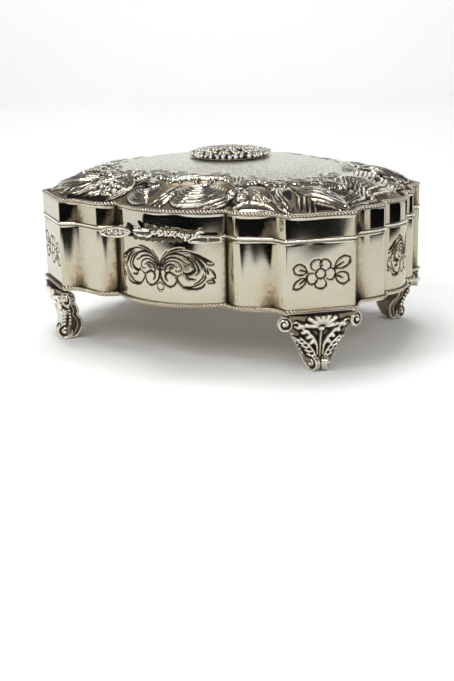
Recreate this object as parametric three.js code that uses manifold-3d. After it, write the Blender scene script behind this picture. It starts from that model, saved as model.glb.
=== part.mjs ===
// A scalloped silver jewellery casket with a hinged repousse lid, on four cast scroll feet.
// Units are millimetres, +Z is up and the front of the box faces -Y.
// The origin is on the surface that the feet stand on, under the middle of the box.
import * as THREE from 'three';
import { mergeVertices } from 'three/addons/utils/BufferGeometryUtils.js';
import Module from 'manifold-3d';

const wasm = await Module();
wasm.setup();

// ---- driving dimensions ----
// Plan, one quarter (x > 0, y > 0): side bow, moulded bay, chamfer, moulded bay, front bow.
const SIDE_MIDDLE = 98;
const FRONT_MIDDLE = 77;
const CHAMFER_SIDE = [90, 46];
const CHAMFER_FRONT = [64.2, 68.5];
const SIDE_BOW_END = [92, 14];
const FRONT_BOW_END = [28.5, 67.5];
const SIDE_BAY = [[91.1, 15], [92.9, 16.6], [95.3, 21], [91.6, 28.5], [87.6, 35.5], CHAMFER_SIDE];
const FRONT_BAY = [CHAMFER_FRONT, [56, 65.3], [47.5, 67.6], [39.5, 69.8], [33.4, 67.4], [31.1, 65.4]];

// Heights
const FOOT_TOP = 29.3;
const FLOOR_BOTTOM = 29.6;
const FLOOR_TOP = 30.7;
const BASE_WALL_BOTTOM = 31;
const BASE_WALL_TOP = 64.2;
const HINGE_HEIGHT = 64.5;
const LID_WALL_BOTTOM = 64.8;
const LID_WALL_TOP = 76.4;
const DOME_RIM = 76.7;
const DOME_RISE = 17.5;
const DOME_POWER = 3;

// Sheet and wire
const WALL = 1;
const DOME_SHEET = 0.9;
const GAP = 0.1;
const TURNED_GAP = 0.3;
const ROPE_RADIUS = 0.95;
const BASE_ROPE_RADIUS = 0.8;
const BEAD_HEIGHT = 1.5;
const BEAD_DEPTH = 0.8;
const BEZEL_INSET = 1.9;
const BEZEL_SHEET = 0.8;
const BEZEL_BOTTOM = 50;
const BEZEL_TOP = 66;

// Hinge
const HINGE_CENTRE = FRONT_MIDDLE + 2.5;
const KNUCKLE_RADIUS = 2.2;
const KNUCKLE_BORE = 1;
const PIN_RADIUS = 0.75;
const KNUCKLES = 5;
const KNUCKLE_LENGTH = 6.6;
const KNUCKLE_PITCH = 6.9;
const BEARER_HALF_LENGTH = 17.2;
const BEARER_HEIGHT = 4;
const BEARER_BACK = HINGE_CENTRE + 1;

// Feet
const FOOT_HALF_WIDTH = 19.4;
const LEG_THICKNESS = 3.4;
const TOE_RADIUS = 5.1;
const TOE_WIDTH = 5.6;
const TOE_SPREAD = 3.9;
const TOE_SET_BACK = 5.6;
const CORNER_SCROLL_RADIUS = 3.7;
const CORNER_SCROLL_DEPTH = 4.2;

// Thumb piece: its back edge runs from right to left, and its front edge from left to right.
const THUMB_BACK = [
  [29, -69], [25, -71.5], [15, -76.1], [0, -78.3],
  [-15, -76.1], [-25, -71.8], [-31, -70.7], [-38.5, -71.4]];
const THUMB_FRONT = [
  [-38.5, -73.9], [-31.5, -73.6], [-25, -75.2], [-15, -79.4],
  [0, -81.5], [15, -79.4], [25, -74.9], [29.6, -71.2]];
const THUMB_HEIGHT = 3.6;
const THUMB_SLOTS = 7;
const THUMB_SLOT = [3, 0.6];

// Medallion
const MEDALLION_RADIUS = 22;
const MEDALLION_PLATE = 0.8;
const MEDALLION_RISE = 4.2;

// ---- materials ----
const FINISHES = {
  wall: { color: 0xcfc8ba, roughness: 0.18, metalness: 1 },
  dome: { color: 0xb9b8b2, roughness: 0.35, metalness: 1 },
  cast: { color: 0x9c978c, roughness: 0.3, metalness: 1 },
  wire: { color: 0xd8d4ca, roughness: 0.22, metalness: 1 },
  inside: { color: 0xc4c0b6, roughness: 0.4, metalness: 1 },
  pin: { color: 0x8d8a84, roughness: 0.35, metalness: 1 },
};

const casket = new THREE.Group();

function addPiece(name, geometry, finish, place = (mesh) => mesh) {
  const mesh = new THREE.Mesh(geometry, new THREE.MeshStandardMaterial(FINISHES[finish]));
  mesh.name = name;
  place(mesh);
  casket.add(mesh);
}

// ---- plan outline ----
const vector = ([x, y]) => new THREE.Vector2(x, y);

// The circular arc through a bow's end, its middle and its mirrored end.
function bowRadius(halfChord, rise) {
  return (halfChord * halfChord + rise * rise) / (2 * rise);
}

const SIDE_BOW_RADIUS = bowRadius(SIDE_BOW_END[1], SIDE_MIDDLE - SIDE_BOW_END[0]);
const FRONT_BOW_RADIUS = bowRadius(FRONT_BOW_END[0], FRONT_MIDDLE - FRONT_BOW_END[1]);
const SIDE_BOW_ANGLE = Math.asin(SIDE_BOW_END[1] / SIDE_BOW_RADIUS);
const FRONT_BOW_ANGLE = Math.asin(FRONT_BOW_END[0] / FRONT_BOW_RADIUS);
const SIDE_BOW_CENTRE = SIDE_MIDDLE - SIDE_BOW_RADIUS;
const FRONT_BOW_CENTRE = FRONT_MIDDLE - FRONT_BOW_RADIUS;

function quarterOutline() {
  const sideBow = new THREE.EllipseCurve(
    SIDE_BOW_CENTRE, 0, SIDE_BOW_RADIUS, SIDE_BOW_RADIUS, 0, SIDE_BOW_ANGLE);
  const frontBow = new THREE.EllipseCurve(
    0, FRONT_BOW_CENTRE, FRONT_BOW_RADIUS, FRONT_BOW_RADIUS,
    Math.PI / 2 - FRONT_BOW_ANGLE, Math.PI / 2);
  return [
    ...sideBow.getPoints(3),
    ...new THREE.SplineCurve(SIDE_BAY.map(vector)).getPoints(7),
    vector([77.1, 57.25]),
    ...new THREE.SplineCurve(FRONT_BAY.map(vector)).getPoints(8),
    ...frontBow.getPoints(4),
  ];
}

function fullOutline() {
  const quarter = quarterOutline();
  const mirrored = (signX, signY) => quarter.map((p) => new THREE.Vector2(p.x * signX, p.y * signY));
  const loop = [
    ...mirrored(1, 1),
    ...mirrored(-1, 1).reverse(),
    ...mirrored(-1, -1),
    ...mirrored(1, -1).reverse(),
  ];
  return loop.filter((p, i) => p.distanceTo(loop[(i + 1) % loop.length]) > 0.01);
}

// Inward unit normals, lengthened at corners so that an inset keeps an even thickness.
function insetDirections(loop) {
  const n = loop.length;
  return loop.map((p, i) => {
    const before = p.clone().sub(loop[(i + n - 1) % n]).normalize();
    const after = loop[(i + 1) % n].clone().sub(p).normalize();
    const normal = new THREE.Vector2(-before.y - after.y, before.x + after.x).normalize();
    const cosine = normal.dot(new THREE.Vector2(-before.y, before.x));
    return normal.multiplyScalar(1 / Math.max(cosine, 0.7));
  });
}

const OUTLINE = fullOutline();
const INSET_DIRECTIONS = insetDirections(OUTLINE);

function ringAt(inset, z) {
  return OUTLINE.map((p, i) => {
    const q = p.clone().addScaledVector(INSET_DIRECTIONS[i], inset);
    return new THREE.Vector3(q.x, q.y, z);
  });
}

// ---- solids from rings ----
function signedVolume(points, triangles) {
  const cross = new THREE.Vector3();
  return triangles.reduce(
    (sum, [a, b, c]) => sum + points[a].dot(cross.crossVectors(points[b], points[c])) / 6, 0);
}

// A solid whose triangles all turn the same way, turned over as a whole if they face inwards.
function solidFrom(points, triangles) {
  const outwards = signedVolume(points, triangles) > 0;
  const facing = outwards ? triangles : triangles.map(([a, b, c]) => [a, c, b]);
  const geometry = new THREE.BufferGeometry();
  geometry.setAttribute('position', new THREE.Float32BufferAttribute(points.flatMap((p) => [...p]), 3));
  geometry.setIndex(facing.flat());
  return geometry;
}

function bridge(count, a, b) {
  const triangles = [];
  for (let i = 0; i < count; i += 1) {
    const j = (i + 1) % count;
    triangles.push([a + i, a + j, b + j], [a + i, b + j, b + i]);
  }
  return triangles;
}

function bridges(rings, count) {
  const starts = Array.from({ length: rings - 1 }, (_, k) => k * count);
  return starts.flatMap((start) => bridge(count, start, start + count));
}

// A tube-like ring: the closed section given by [inset, z] pairs, swept round the whole outline.
function mouldedRing(section) {
  const rings = section.map(([inset, z]) => ringAt(inset, z));
  const count = OUTLINE.length;
  const triangles = rings.flatMap((ring, k) => bridge(count, k * count, ((k + 1) % rings.length) * count));
  return solidFrom(rings.flat(), triangles);
}

// A lump from a stack of rings of equal length, closed by a fan at each end.
function stackedSolid(rings, first, last) {
  const count = rings[0].length;
  const points = [...rings.flat(), first, last];
  const firstPole = points.length - 2;
  const lastPole = points.length - 1;
  const top = (rings.length - 1) * count;
  const triangles = bridges(rings.length, count);
  for (let i = 0; i < count; i += 1) {
    const j = (i + 1) % count;
    triangles.push([firstPole, j, i], [lastPole, top + i, top + j]);
  }
  return solidFrom(points, triangles);
}

// A bar: closed convex sections standing one after another along a path, with both ends capped.
function bar(sections) {
  const count = sections[0].length;
  const last = (sections.length - 1) * count;
  const triangles = bridges(sections.length, count);
  for (let i = 1; i + 1 < count; i += 1) triangles.push([0, i + 1, i], [last, last + i, last + i + 1]);
  return solidFrom(sections.flat(), triangles);
}

function roundSection(inset, z, radius, sides) {
  return Array.from({ length: sides }, (_, k) => {
    const angle = (k / sides) * 2 * Math.PI;
    return [inset + radius * Math.cos(angle), z - radius * Math.sin(angle)];
  });
}

// ---- booleans ----
function toManifold(geometry) {
  const bare = geometry.clone();
  bare.deleteAttribute('normal');
  bare.deleteAttribute('uv');
  const merged = mergeVertices(bare, 1e-4);
  return new wasm.Manifold(new wasm.Mesh({
    numProp: 3,
    vertProperties: new Float32Array(merged.attributes.position.array),
    triVerts: new Uint32Array(merged.index.array),
  }));
}

function fromManifold(solid) {
  const mesh = solid.getMesh();
  const geometry = new THREE.BufferGeometry();
  geometry.setAttribute('position', new THREE.Float32BufferAttribute(mesh.vertProperties, 3));
  geometry.setIndex([...mesh.triVerts]);
  return geometry;
}

function joined(geometries) {
  return fromManifold(geometries.map(toManifold).reduce((sum, next) => sum.add(next)));
}

// ---- base ----
function baseWall() {
  return mouldedRing([
    [0, BASE_WALL_BOTTOM], [WALL, BASE_WALL_BOTTOM], [WALL, BASE_WALL_TOP], [0, BASE_WALL_TOP]]);
}

function baseFloor() {
  return stackedSolid(
    [ringAt(0.2, FLOOR_BOTTOM), ringAt(0.2, FLOOR_TOP)],
    new THREE.Vector3(0, 0, FLOOR_BOTTOM), new THREE.Vector3(0, 0, FLOOR_TOP));
}

function baseRope() {
  const z = FLOOR_TOP + BASE_ROPE_RADIUS;
  return mouldedRing(roundSection(-BASE_ROPE_RADIUS - GAP, z, BASE_ROPE_RADIUS, 6));
}

function innerBezel() {
  const inside = BEZEL_INSET + BEZEL_SHEET;
  return mouldedRing([
    [BEZEL_INSET, BEZEL_BOTTOM], [inside, BEZEL_BOTTOM], [inside, BEZEL_TOP], [BEZEL_INSET, BEZEL_TOP]]);
}

// ---- feet, in the foot's own frame: X along the chamfer, Y outwards, Z up ----
// The leg narrows from the shoulders to the ankle and leans in under the box.
function legHalfWidth(z) {
  const t = z / FOOT_TOP;
  return 5.6 + (FOOT_HALF_WIDTH - 3.4 - 5.6) * t ** 1.35;
}

function legLean(z) {
  const t = 1 - z / FOOT_TOP;
  return -TOE_SET_BACK * Math.sin(Math.min(t / 0.72, 1) * Math.PI / 2);
}

function legGeometry() {
  const heights = [3, 7, 11, 15, 19, 23, 26.5, FOOT_TOP];
  return bar(heights.map((z) => {
    const w = legHalfWidth(z);
    const back = legLean(z) - LEG_THICKNESS / 2;
    const front = legLean(z) + LEG_THICKNESS / 2;
    const crown = front + 0.9;
    const outline = [[-w, back], [w, back], [w, front], [w * 0.45, crown], [-w * 0.45, crown], [-w, front]];
    return outline.map(([x, y]) => new THREE.Vector3(x, y, z));
  }));
}

function toeGeometry(x) {
  const sides = 20;
  const height = TOE_RADIUS * Math.cos(Math.PI / sides);
  const toe = new THREE.CylinderGeometry(
    TOE_RADIUS, TOE_RADIUS, TOE_WIDTH, sides, 1, false, Math.PI / sides);
  return toe.rotateZ(Math.PI / 2).translate(x, -TOE_SET_BACK + 1.2, height);
}

function cornerScroll(x) {
  const scroll = new THREE.CylinderGeometry(
    CORNER_SCROLL_RADIUS, CORNER_SCROLL_RADIUS, CORNER_SCROLL_DEPTH, 16);
  return scroll.translate(x, 0.1, FOOT_TOP - CORNER_SCROLL_RADIUS);
}

function footGeometry() {
  const shoulder = FOOT_HALF_WIDTH - CORNER_SCROLL_RADIUS;
  return joined([
    legGeometry(),
    toeGeometry(-TOE_SPREAD),
    toeGeometry(TOE_SPREAD),
    new THREE.BoxGeometry(3, 7, 7).translate(0, -TOE_SET_BACK + 1.2, TOE_RADIUS),
    cornerScroll(-shoulder),
    cornerScroll(shoulder),
  ]);
}

function addFeet() {
  const foot = footGeometry();
  const along = new THREE.Vector2(
    CHAMFER_SIDE[0] - CHAMFER_FRONT[0], CHAMFER_SIDE[1] - CHAMFER_FRONT[1]);
  const centre = [(CHAMFER_SIDE[0] + CHAMFER_FRONT[0]) / 2, (CHAMFER_SIDE[1] + CHAMFER_FRONT[1]) / 2];
  const corners = { front_left: [-1, -1], front_right: [1, -1], back_left: [-1, 1], back_right: [1, 1] };
  for (const [corner, [signX, signY]] of Object.entries(corners)) {
    addPiece(`foot_${corner}`, foot, 'cast', (mesh) => {
      mesh.position.set(centre[0] * signX, centre[1] * signY, 0);
      mesh.rotation.z = Math.atan2(along.x * signY, -along.y * signX) - Math.PI / 2;
    });
  }
}

// ---- lid ----
function lidWall() {
  return mouldedRing([
    [0, LID_WALL_BOTTOM], [WALL, LID_WALL_BOTTOM], [WALL, LID_WALL_TOP], [0, LID_WALL_TOP]]);
}

function lidRope() {
  const z = LID_WALL_TOP + GAP + ROPE_RADIUS;
  return mouldedRing(roundSection(0.35, z, ROPE_RADIUS, 6));
}

// The half-round bead on the lid's lower edge stops on each side of the hinge.
function lidBead() {
  const start = OUTLINE.findIndex((p) => p.y > 0 && p.x < -BEARER_HALF_LENGTH - 1 && p.x > -30);
  const end = OUTLINE.findIndex((p) => p.y > 0 && p.x < BEARER_HALF_LENGTH + 1) - 1;
  const section = [
    [-GAP, LID_WALL_BOTTOM],
    [-GAP, LID_WALL_BOTTOM + BEAD_HEIGHT],
    [-GAP - BEAD_DEPTH * 0.7, LID_WALL_BOTTOM + BEAD_HEIGHT * 0.85],
    [-GAP - BEAD_DEPTH, LID_WALL_BOTTOM + BEAD_HEIGHT * 0.5],
    [-GAP - BEAD_DEPTH * 0.7, LID_WALL_BOTTOM + BEAD_HEIGHT * 0.15],
  ];
  const rings = section.map(([inset, z]) => ringAt(inset, z));
  const count = OUTLINE.length;
  const sections = [];
  for (let i = start; i <= end + count; i += 1) sections.push(rings.map((ring) => ring[i % count]));
  return bar(sections);
}

// Height of the dome over its rim, from 0 at the middle of the lid to 1 at the rim.
function domeHeight(s) {
  return DOME_RISE * (1 - s ** DOME_POWER);
}

// Scaling the rim towards the middle keeps the scallops at the edge and rounds them off above.
function domeRing(s, drop, inset) {
  const rim = ringAt(inset, 0);
  const scallop = s ** 3;
  return rim.map((p) => {
    const angle = Math.atan2(p.y, p.x);
    const round = 1 / Math.hypot(Math.cos(angle) / 93, Math.sin(angle) / 72);
    const radius = THREE.MathUtils.lerp(round, Math.hypot(p.x, p.y), scallop) * s;
    const z = DOME_RIM + domeHeight(s) - drop;
    return new THREE.Vector3(radius * Math.cos(angle), radius * Math.sin(angle), z);
  });
}

function lidDome() {
  const steps = [0.3, 0.55, 0.75, 0.9, 1];
  const rimInset = 2.2;
  const outer = steps.map((s) => domeRing(s, 0, rimInset)).reverse();
  const inner = steps.map((s) => domeRing(s, DOME_SHEET, rimInset + 0.6));
  inner[inner.length - 1].forEach((p) => p.setZ(DOME_RIM - 0.9));
  const seat = ringAt(rimInset - 0.8, DOME_RIM - 0.9);
  const lip = ringAt(rimInset - 0.8, DOME_RIM);
  const top = DOME_RIM + DOME_RISE;
  return stackedSolid(
    [...inner, seat, lip, ...outer],
    new THREE.Vector3(0, 0, top - DOME_SHEET), new THREE.Vector3(0, 0, top));
}

// The medallion: a round plate on the crown of the dome, and a lumpy cushion of beads on it.
function disc(radius, z) {
  const count = 32;
  return Array.from({ length: count }, (_, i) => {
    const angle = (i / count) * 2 * Math.PI;
    return new THREE.Vector3(radius * Math.cos(angle), radius * Math.sin(angle), z(angle));
  });
}

function medallionPlate() {
  const base = DOME_RIM + DOME_RISE + TURNED_GAP;
  return stackedSolid(
    [disc(MEDALLION_RADIUS - 2, () => base), disc(MEDALLION_RADIUS - 2, () => base + MEDALLION_PLATE)],
    new THREE.Vector3(0, 0, base), new THREE.Vector3(0, 0, base + MEDALLION_PLATE));
}

function medallionBeads() {
  const base = DOME_RIM + DOME_RISE + TURNED_GAP + MEDALLION_PLATE + GAP;
  const rings = [disc(MEDALLION_RADIUS, () => base)];
  for (const [share, lobes] of [[1, 16], [0.8, 16], [0.6, 16], [0.4, 8], [0.2, 8]]) {
    const height = base + 0.5 + MEDALLION_RISE * Math.sqrt(1 - share * share * 0.98);
    rings.push(disc(MEDALLION_RADIUS * share, (angle) => height - 0.35 * Math.cos(angle * lobes) ** 2));
  }
  const top = base + 0.5 + MEDALLION_RISE;
  return stackedSolid(rings, new THREE.Vector3(0, 0, base), new THREE.Vector3(0, 0, top));
}

// A pierced strip along the front bow, just over the parting line. It runs past the bow on the left.
function thumbPiece() {
  const strip = new THREE.Shape();
  strip.moveTo(THUMB_BACK[0][0], THUMB_BACK[0][1]);
  strip.splineThru(THUMB_BACK.slice(1).map(vector));
  strip.lineTo(THUMB_FRONT[0][0], THUMB_FRONT[0][1]);
  strip.splineThru(THUMB_FRONT.slice(1).map(vector));
  strip.closePath();
  const back = new THREE.SplineCurve(THUMB_BACK.map(vector));
  const front = new THREE.SplineCurve([...THUMB_FRONT].reverse().map(vector));
  for (let k = 0; k < THUMB_SLOTS; k += 1) {
    const t = (k + 1) / (THUMB_SLOTS + 1);
    const centre = back.getPointAt(t).add(front.getPointAt(t)).multiplyScalar(0.5);
    const tangent = back.getTangentAt(t);
    const slot = new THREE.Path();
    slot.absellipse(
      centre.x, centre.y, THUMB_SLOT[0], THUMB_SLOT[1], 0, 2 * Math.PI, false,
      Math.atan2(tangent.y, tangent.x));
    strip.holes.push(slot);
  }
  const options = { depth: THUMB_HEIGHT, bevelEnabled: false, curveSegments: 5 };
  return new THREE.ExtrudeGeometry(strip, options).translate(0, 0, LID_WALL_BOTTOM + 0.2);
}

// ---- hinge ----
// Each bearer fills the space between the curved back and the straight hinge.
function bearer(z) {
  const inner = FRONT_BOW_RADIUS + GAP + 0.05;
  const halfAngle = Math.asin(BEARER_HALF_LENGTH / inner);
  const shelf = new THREE.Shape();
  shelf.absarc(0, FRONT_BOW_CENTRE, inner, Math.PI / 2 + halfAngle, Math.PI / 2 - halfAngle, true);
  shelf.lineTo(BEARER_HALF_LENGTH, BEARER_BACK);
  shelf.lineTo(-BEARER_HALF_LENGTH, BEARER_BACK);
  const options = { depth: BEARER_HEIGHT, bevelEnabled: false, curveSegments: 10 };
  return new THREE.ExtrudeGeometry(shelf, options).translate(0, 0, z);
}

function knuckle() {
  const half = KNUCKLE_LENGTH / 2;
  const profile = [
    [KNUCKLE_BORE, -half], [KNUCKLE_RADIUS, -half], [KNUCKLE_RADIUS, half], [KNUCKLE_BORE, half],
    [KNUCKLE_BORE, -half]];
  return new THREE.LatheGeometry(profile.map(vector), 20).rotateZ(Math.PI / 2);
}

function pin() {
  const half = (KNUCKLES * KNUCKLE_PITCH) / 2 + 0.3;
  const profile = [
    [0, -half], [PIN_RADIUS * 0.7, -half], [PIN_RADIUS, -half + 0.25],
    [PIN_RADIUS, half - 0.25], [PIN_RADIUS * 0.7, half], [0, half]];
  return new THREE.LatheGeometry(profile.map(vector), 16).rotateZ(Math.PI / 2);
}

function addHinge() {
  const names = [
    'hinge_knuckle_base_left', 'hinge_knuckle_lid_left', 'hinge_knuckle_base_middle',
    'hinge_knuckle_lid_right', 'hinge_knuckle_base_right'];
  const tube = knuckle();
  names.forEach((name, k) => {
    const x = (k - (KNUCKLES - 1) / 2) * KNUCKLE_PITCH;
    addPiece(name, tube, 'wire', (mesh) => mesh.position.set(x, HINGE_CENTRE, HINGE_HEIGHT));
  });
  addPiece('hinge_pin', pin(), 'pin', (mesh) => mesh.position.set(0, HINGE_CENTRE, HINGE_HEIGHT));
  const clear = KNUCKLE_RADIUS + GAP + 0.1;
  addPiece('hinge_bearer_base', bearer(HINGE_HEIGHT - clear - BEARER_HEIGHT), 'wire');
  addPiece('hinge_bearer_lid', bearer(HINGE_HEIGHT + clear), 'wire');
}

addPiece('base_wall', baseWall(), 'wall');
addPiece('base_floor', baseFloor(), 'inside');
addPiece('base_rope_moulding', baseRope(), 'wire');
addPiece('inner_bezel', innerBezel(), 'inside');
addFeet();
addPiece('lid_wall', lidWall(), 'wall');
addPiece('lid_lip_bead', lidBead(), 'wire');
addPiece('lid_rope_moulding', lidRope(), 'wire');
addPiece('lid_dome', lidDome(), 'dome');
addPiece('thumb_piece', thumbPiece(), 'cast');
addPiece('medallion_plate', medallionPlate(), 'cast');
addPiece('medallion_beads', medallionBeads(), 'cast');
addHinge();

export default casket;
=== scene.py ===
"""A scalloped silver jewellery casket: engraved walls, chased dome, rope mouldings and cast feet.

Lengths in this script are millimetres until a mesh is made; MM turns them into the frame's metres.
"""
import functools
import math

import bmesh
import bpy
import numpy as np
from mathutils import Matrix, Vector


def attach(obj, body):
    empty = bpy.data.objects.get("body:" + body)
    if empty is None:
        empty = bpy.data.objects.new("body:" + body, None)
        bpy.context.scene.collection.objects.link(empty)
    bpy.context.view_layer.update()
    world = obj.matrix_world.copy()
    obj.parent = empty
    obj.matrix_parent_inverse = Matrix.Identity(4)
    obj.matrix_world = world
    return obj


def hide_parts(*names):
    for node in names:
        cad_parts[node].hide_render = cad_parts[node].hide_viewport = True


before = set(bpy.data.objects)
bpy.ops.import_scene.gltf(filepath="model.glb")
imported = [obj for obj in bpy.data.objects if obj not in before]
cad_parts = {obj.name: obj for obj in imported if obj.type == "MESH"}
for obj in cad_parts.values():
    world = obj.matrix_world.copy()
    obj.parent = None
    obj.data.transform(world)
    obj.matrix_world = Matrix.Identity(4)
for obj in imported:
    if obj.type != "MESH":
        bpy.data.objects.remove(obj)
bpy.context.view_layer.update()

MM = 0.001

# ---- driving dimensions, as in the CAD model ----
SIDE_MIDDLE = 98.0
FRONT_MIDDLE = 77.0
SIDE_BOW_END = (92.0, 14.0)
FRONT_BOW_END = (28.5, 67.5)
FRONT_BAY = [(31.1, 65.4), (33.4, 67.4), (39.5, 69.8), (47.5, 67.6), (56, 65.3), (64.2, 68.5)]
SIDE_BAY = [(90, 46), (87.6, 35.5), (91.6, 28.5), (95.3, 21), (92.9, 16.6), (91.1, 15)]

FOOT_TOP = 29.3
FLOOR_BOTTOM = 29.6
FLOOR_TOP = 30.7
BASE_WALL = (31.0, 64.2)
LID_WALL = (64.8, 76.4)
DOME_RIM = 76.7
DOME_RISE = 17.5
DOME_POWER = 3
DOME_SHEET = 0.8
WALL = 1.0
ROPE_RADIUS = 0.95
BASE_ROPE_RADIUS = 0.8
BEZEL = (1.9, 2.7, 50.0, 66.0)
HINGE_Y = 79.5
HINGE_Z = 64.5
KNUCKLE_RADIUS = 2.2
KNUCKLE_LENGTH = 6.6
KNUCKLE_PITCH = 6.9
BEARER_HALF_LENGTH = 17.2

RELIEF_WIDTH = 46.0
MEDALLION_RADIUS = 21.6

rng = np.random.default_rng(7)


# ---- curves ----
def catmull(points, per_segment=8):
    """A smooth curve through the points."""
    p = np.asarray(points, float)
    p = np.vstack([2 * p[0] - p[1], p, 2 * p[-1] - p[-2]])
    t = np.linspace(0, 1, per_segment, endpoint=False)[:, None]
    pieces = []
    for a, b, c, d in zip(p[:-3], p[1:-2], p[2:-1], p[3:]):
        pieces.append(0.5 * (2 * b + (c - a) * t + (2 * a - 5 * b + 4 * c - d) * t**2
                             + (3 * b - a - 3 * c + d) * t**3))
    return np.vstack(pieces + [p[-2:-1]])


def arc(centre, radius, start, end, count=16):
    """Points on a circular or elliptical arc; angles in degrees."""
    angle = np.radians(np.linspace(start, end, count))
    rx, ry = np.broadcast_to(radius, 2)
    return np.stack([centre[0] + rx * np.cos(angle), centre[1] + ry * np.sin(angle)], 1)


def spiral(centre, outer, inner, start, turns, count=40):
    """A volute from its outer radius to its inner one; start in degrees, negative turns run clockwise."""
    t = np.linspace(0, 1, count)
    angle = np.radians(start) + 2 * np.pi * turns * t
    radius = outer + (inner - outer) * t**0.8
    return np.stack([centre[0] + radius * np.cos(angle), centre[1] + radius * np.sin(angle)], 1)


def resample(points, step):
    """The same open polyline with points an even step apart."""
    gaps = np.linalg.norm(np.diff(points, axis=0), axis=1)
    along = np.concatenate([[0], np.cumsum(gaps)])
    count = max(2, int(round(along[-1] / step)) + 1)
    even = np.linspace(0, along[-1], count)
    return np.stack([np.interp(even, along, points[:, k]) for k in range(points.shape[1])], 1)


def smoothstep(low, high, value):
    t = np.clip((value - low) / (high - low), 0, 1)
    return t * t * (3 - 2 * t)


# ---- plan outline ----
def bow_points(half_chord, rise, middle, count):
    """A bow's circular arc from its middle to its end, as (across, along) pairs."""
    radius = (half_chord**2 + rise**2) / (2 * rise)
    angle = np.linspace(0, math.asin(half_chord / radius), count)
    return np.stack([radius * np.sin(angle), middle - radius + radius * np.cos(angle)], 1)


def quarter_outline():
    """The front right quarter, from the middle of the front bow to the middle of the side bow."""
    front = bow_points(FRONT_BOW_END[0], FRONT_MIDDLE - FRONT_BOW_END[1], FRONT_MIDDLE, 40)
    side = bow_points(SIDE_BOW_END[1], SIDE_MIDDLE - SIDE_BOW_END[0], SIDE_MIDDLE, 20)[::-1, ::-1]
    points = np.vstack([front, catmull(FRONT_BAY, 14), catmull(SIDE_BAY, 12), side])
    return resample(points * (1, -1), 0.1)


QUARTER = quarter_outline()
QUARTER_LENGTH = float(np.linalg.norm(np.diff(QUARTER, axis=0), axis=1).sum())


def full_loop():
    """The whole outline, anticlockwise from the middle of the front bow, without a repeated point."""
    q = QUARTER
    parts = [q[:-1], (q * (1, -1))[:0:-1], (q * (-1, -1))[:-1], (q * (-1, 1))[:0:-1]]
    return np.vstack(parts)


LOOP = full_loop()
LOOP_STEP = 4 * QUARTER_LENGTH / len(LOOP)


def blurred_loop(values, sigma):
    """Values round the loop, averaged along it over about sigma millimetres."""
    reach = int(3 * sigma / LOOP_STEP)
    weights = np.exp(-0.5 * (np.arange(-reach, reach + 1) * LOOP_STEP / sigma) ** 2)
    weights /= weights.sum()
    padded = np.concatenate([values[-reach:], values, values[:reach]])
    return np.stack([np.convolve(padded[:, k], weights, "valid") for k in range(values.shape[1])], 1)


class Rim:
    """Places on the outline: points, outward normals, and where each is along its quarter."""

    def __init__(self, along, soften=0.35):
        loop = blurred_loop(LOOP, soften)
        tangent = np.roll(loop, -1, 0) - np.roll(loop, 1, 0)
        tangent /= np.linalg.norm(tangent, axis=1)[:, None]
        where = np.asarray(along) % (4 * QUARTER_LENGTH) / LOOP_STEP
        low = np.floor(where).astype(int) % len(loop)
        high = (low + 1) % len(loop)
        share = (where - np.floor(where))[:, None]
        self.point = loop[low] * (1 - share) + loop[high] * share
        tangent = tangent[low] * (1 - share) + tangent[high] * share
        tangent /= np.linalg.norm(tangent, axis=1)[:, None]
        self.normal = np.stack([tangent[:, 1], -tangent[:, 0]], 1)
        self.along = np.asarray(along) % (4 * QUARTER_LENGTH)
        turn = np.floor(self.along / QUARTER_LENGTH).astype(int)
        rest = self.along - turn * QUARTER_LENGTH
        self.quarter = np.where(turn % 2 == 0, rest, QUARTER_LENGTH - rest)
        self.right = np.isin(turn, (0, 1))
        self.half = np.where(self.right, self.quarter, -self.quarter)

    def ring(self, inset, z):
        """The ring of points at one inset and height."""
        flat = self.point - self.normal * np.broadcast_to(inset, len(self.point))[:, None]
        return np.column_stack([flat, np.broadcast_to(z, len(flat))])

    def radial_ring(self, inset, z):
        """The ring of points at one inset and height, in the directions of the outline's own points."""
        bearing, reach = inset_reach(round(float(inset), 3))
        angle = np.arctan2(self.point[:, 1], self.point[:, 0])
        radius = np.interp(angle, bearing, reach, period=2 * np.pi)
        height = np.broadcast_to(z, len(angle))
        return np.column_stack([radius * np.cos(angle), radius * np.sin(angle), height])


@functools.cache
def inset_reach(inset):
    """Distance from the centre to the outline moved inwards, by bearing, without its folded corners."""
    rim = Rim(np.arange(0, 4 * QUARTER_LENGTH, 0.4), 0.5)
    moved = rim.ring(inset, 0)[:, :2]
    gap = np.linalg.norm(moved[:, None] - rim.point[None, :], axis=2).min(1)
    moved = moved[gap > inset - 0.03]
    bearing = np.arctan2(moved[:, 1], moved[:, 0])
    order = np.argsort(bearing)
    return bearing[order], np.linalg.norm(moved, axis=1)[order]


def even_rim(step, soften=0.35):
    count = int(round(4 * QUARTER_LENGTH / step / 4)) * 4
    return Rim(np.arange(count) * 4 * QUARTER_LENGTH / count, soften)


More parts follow.
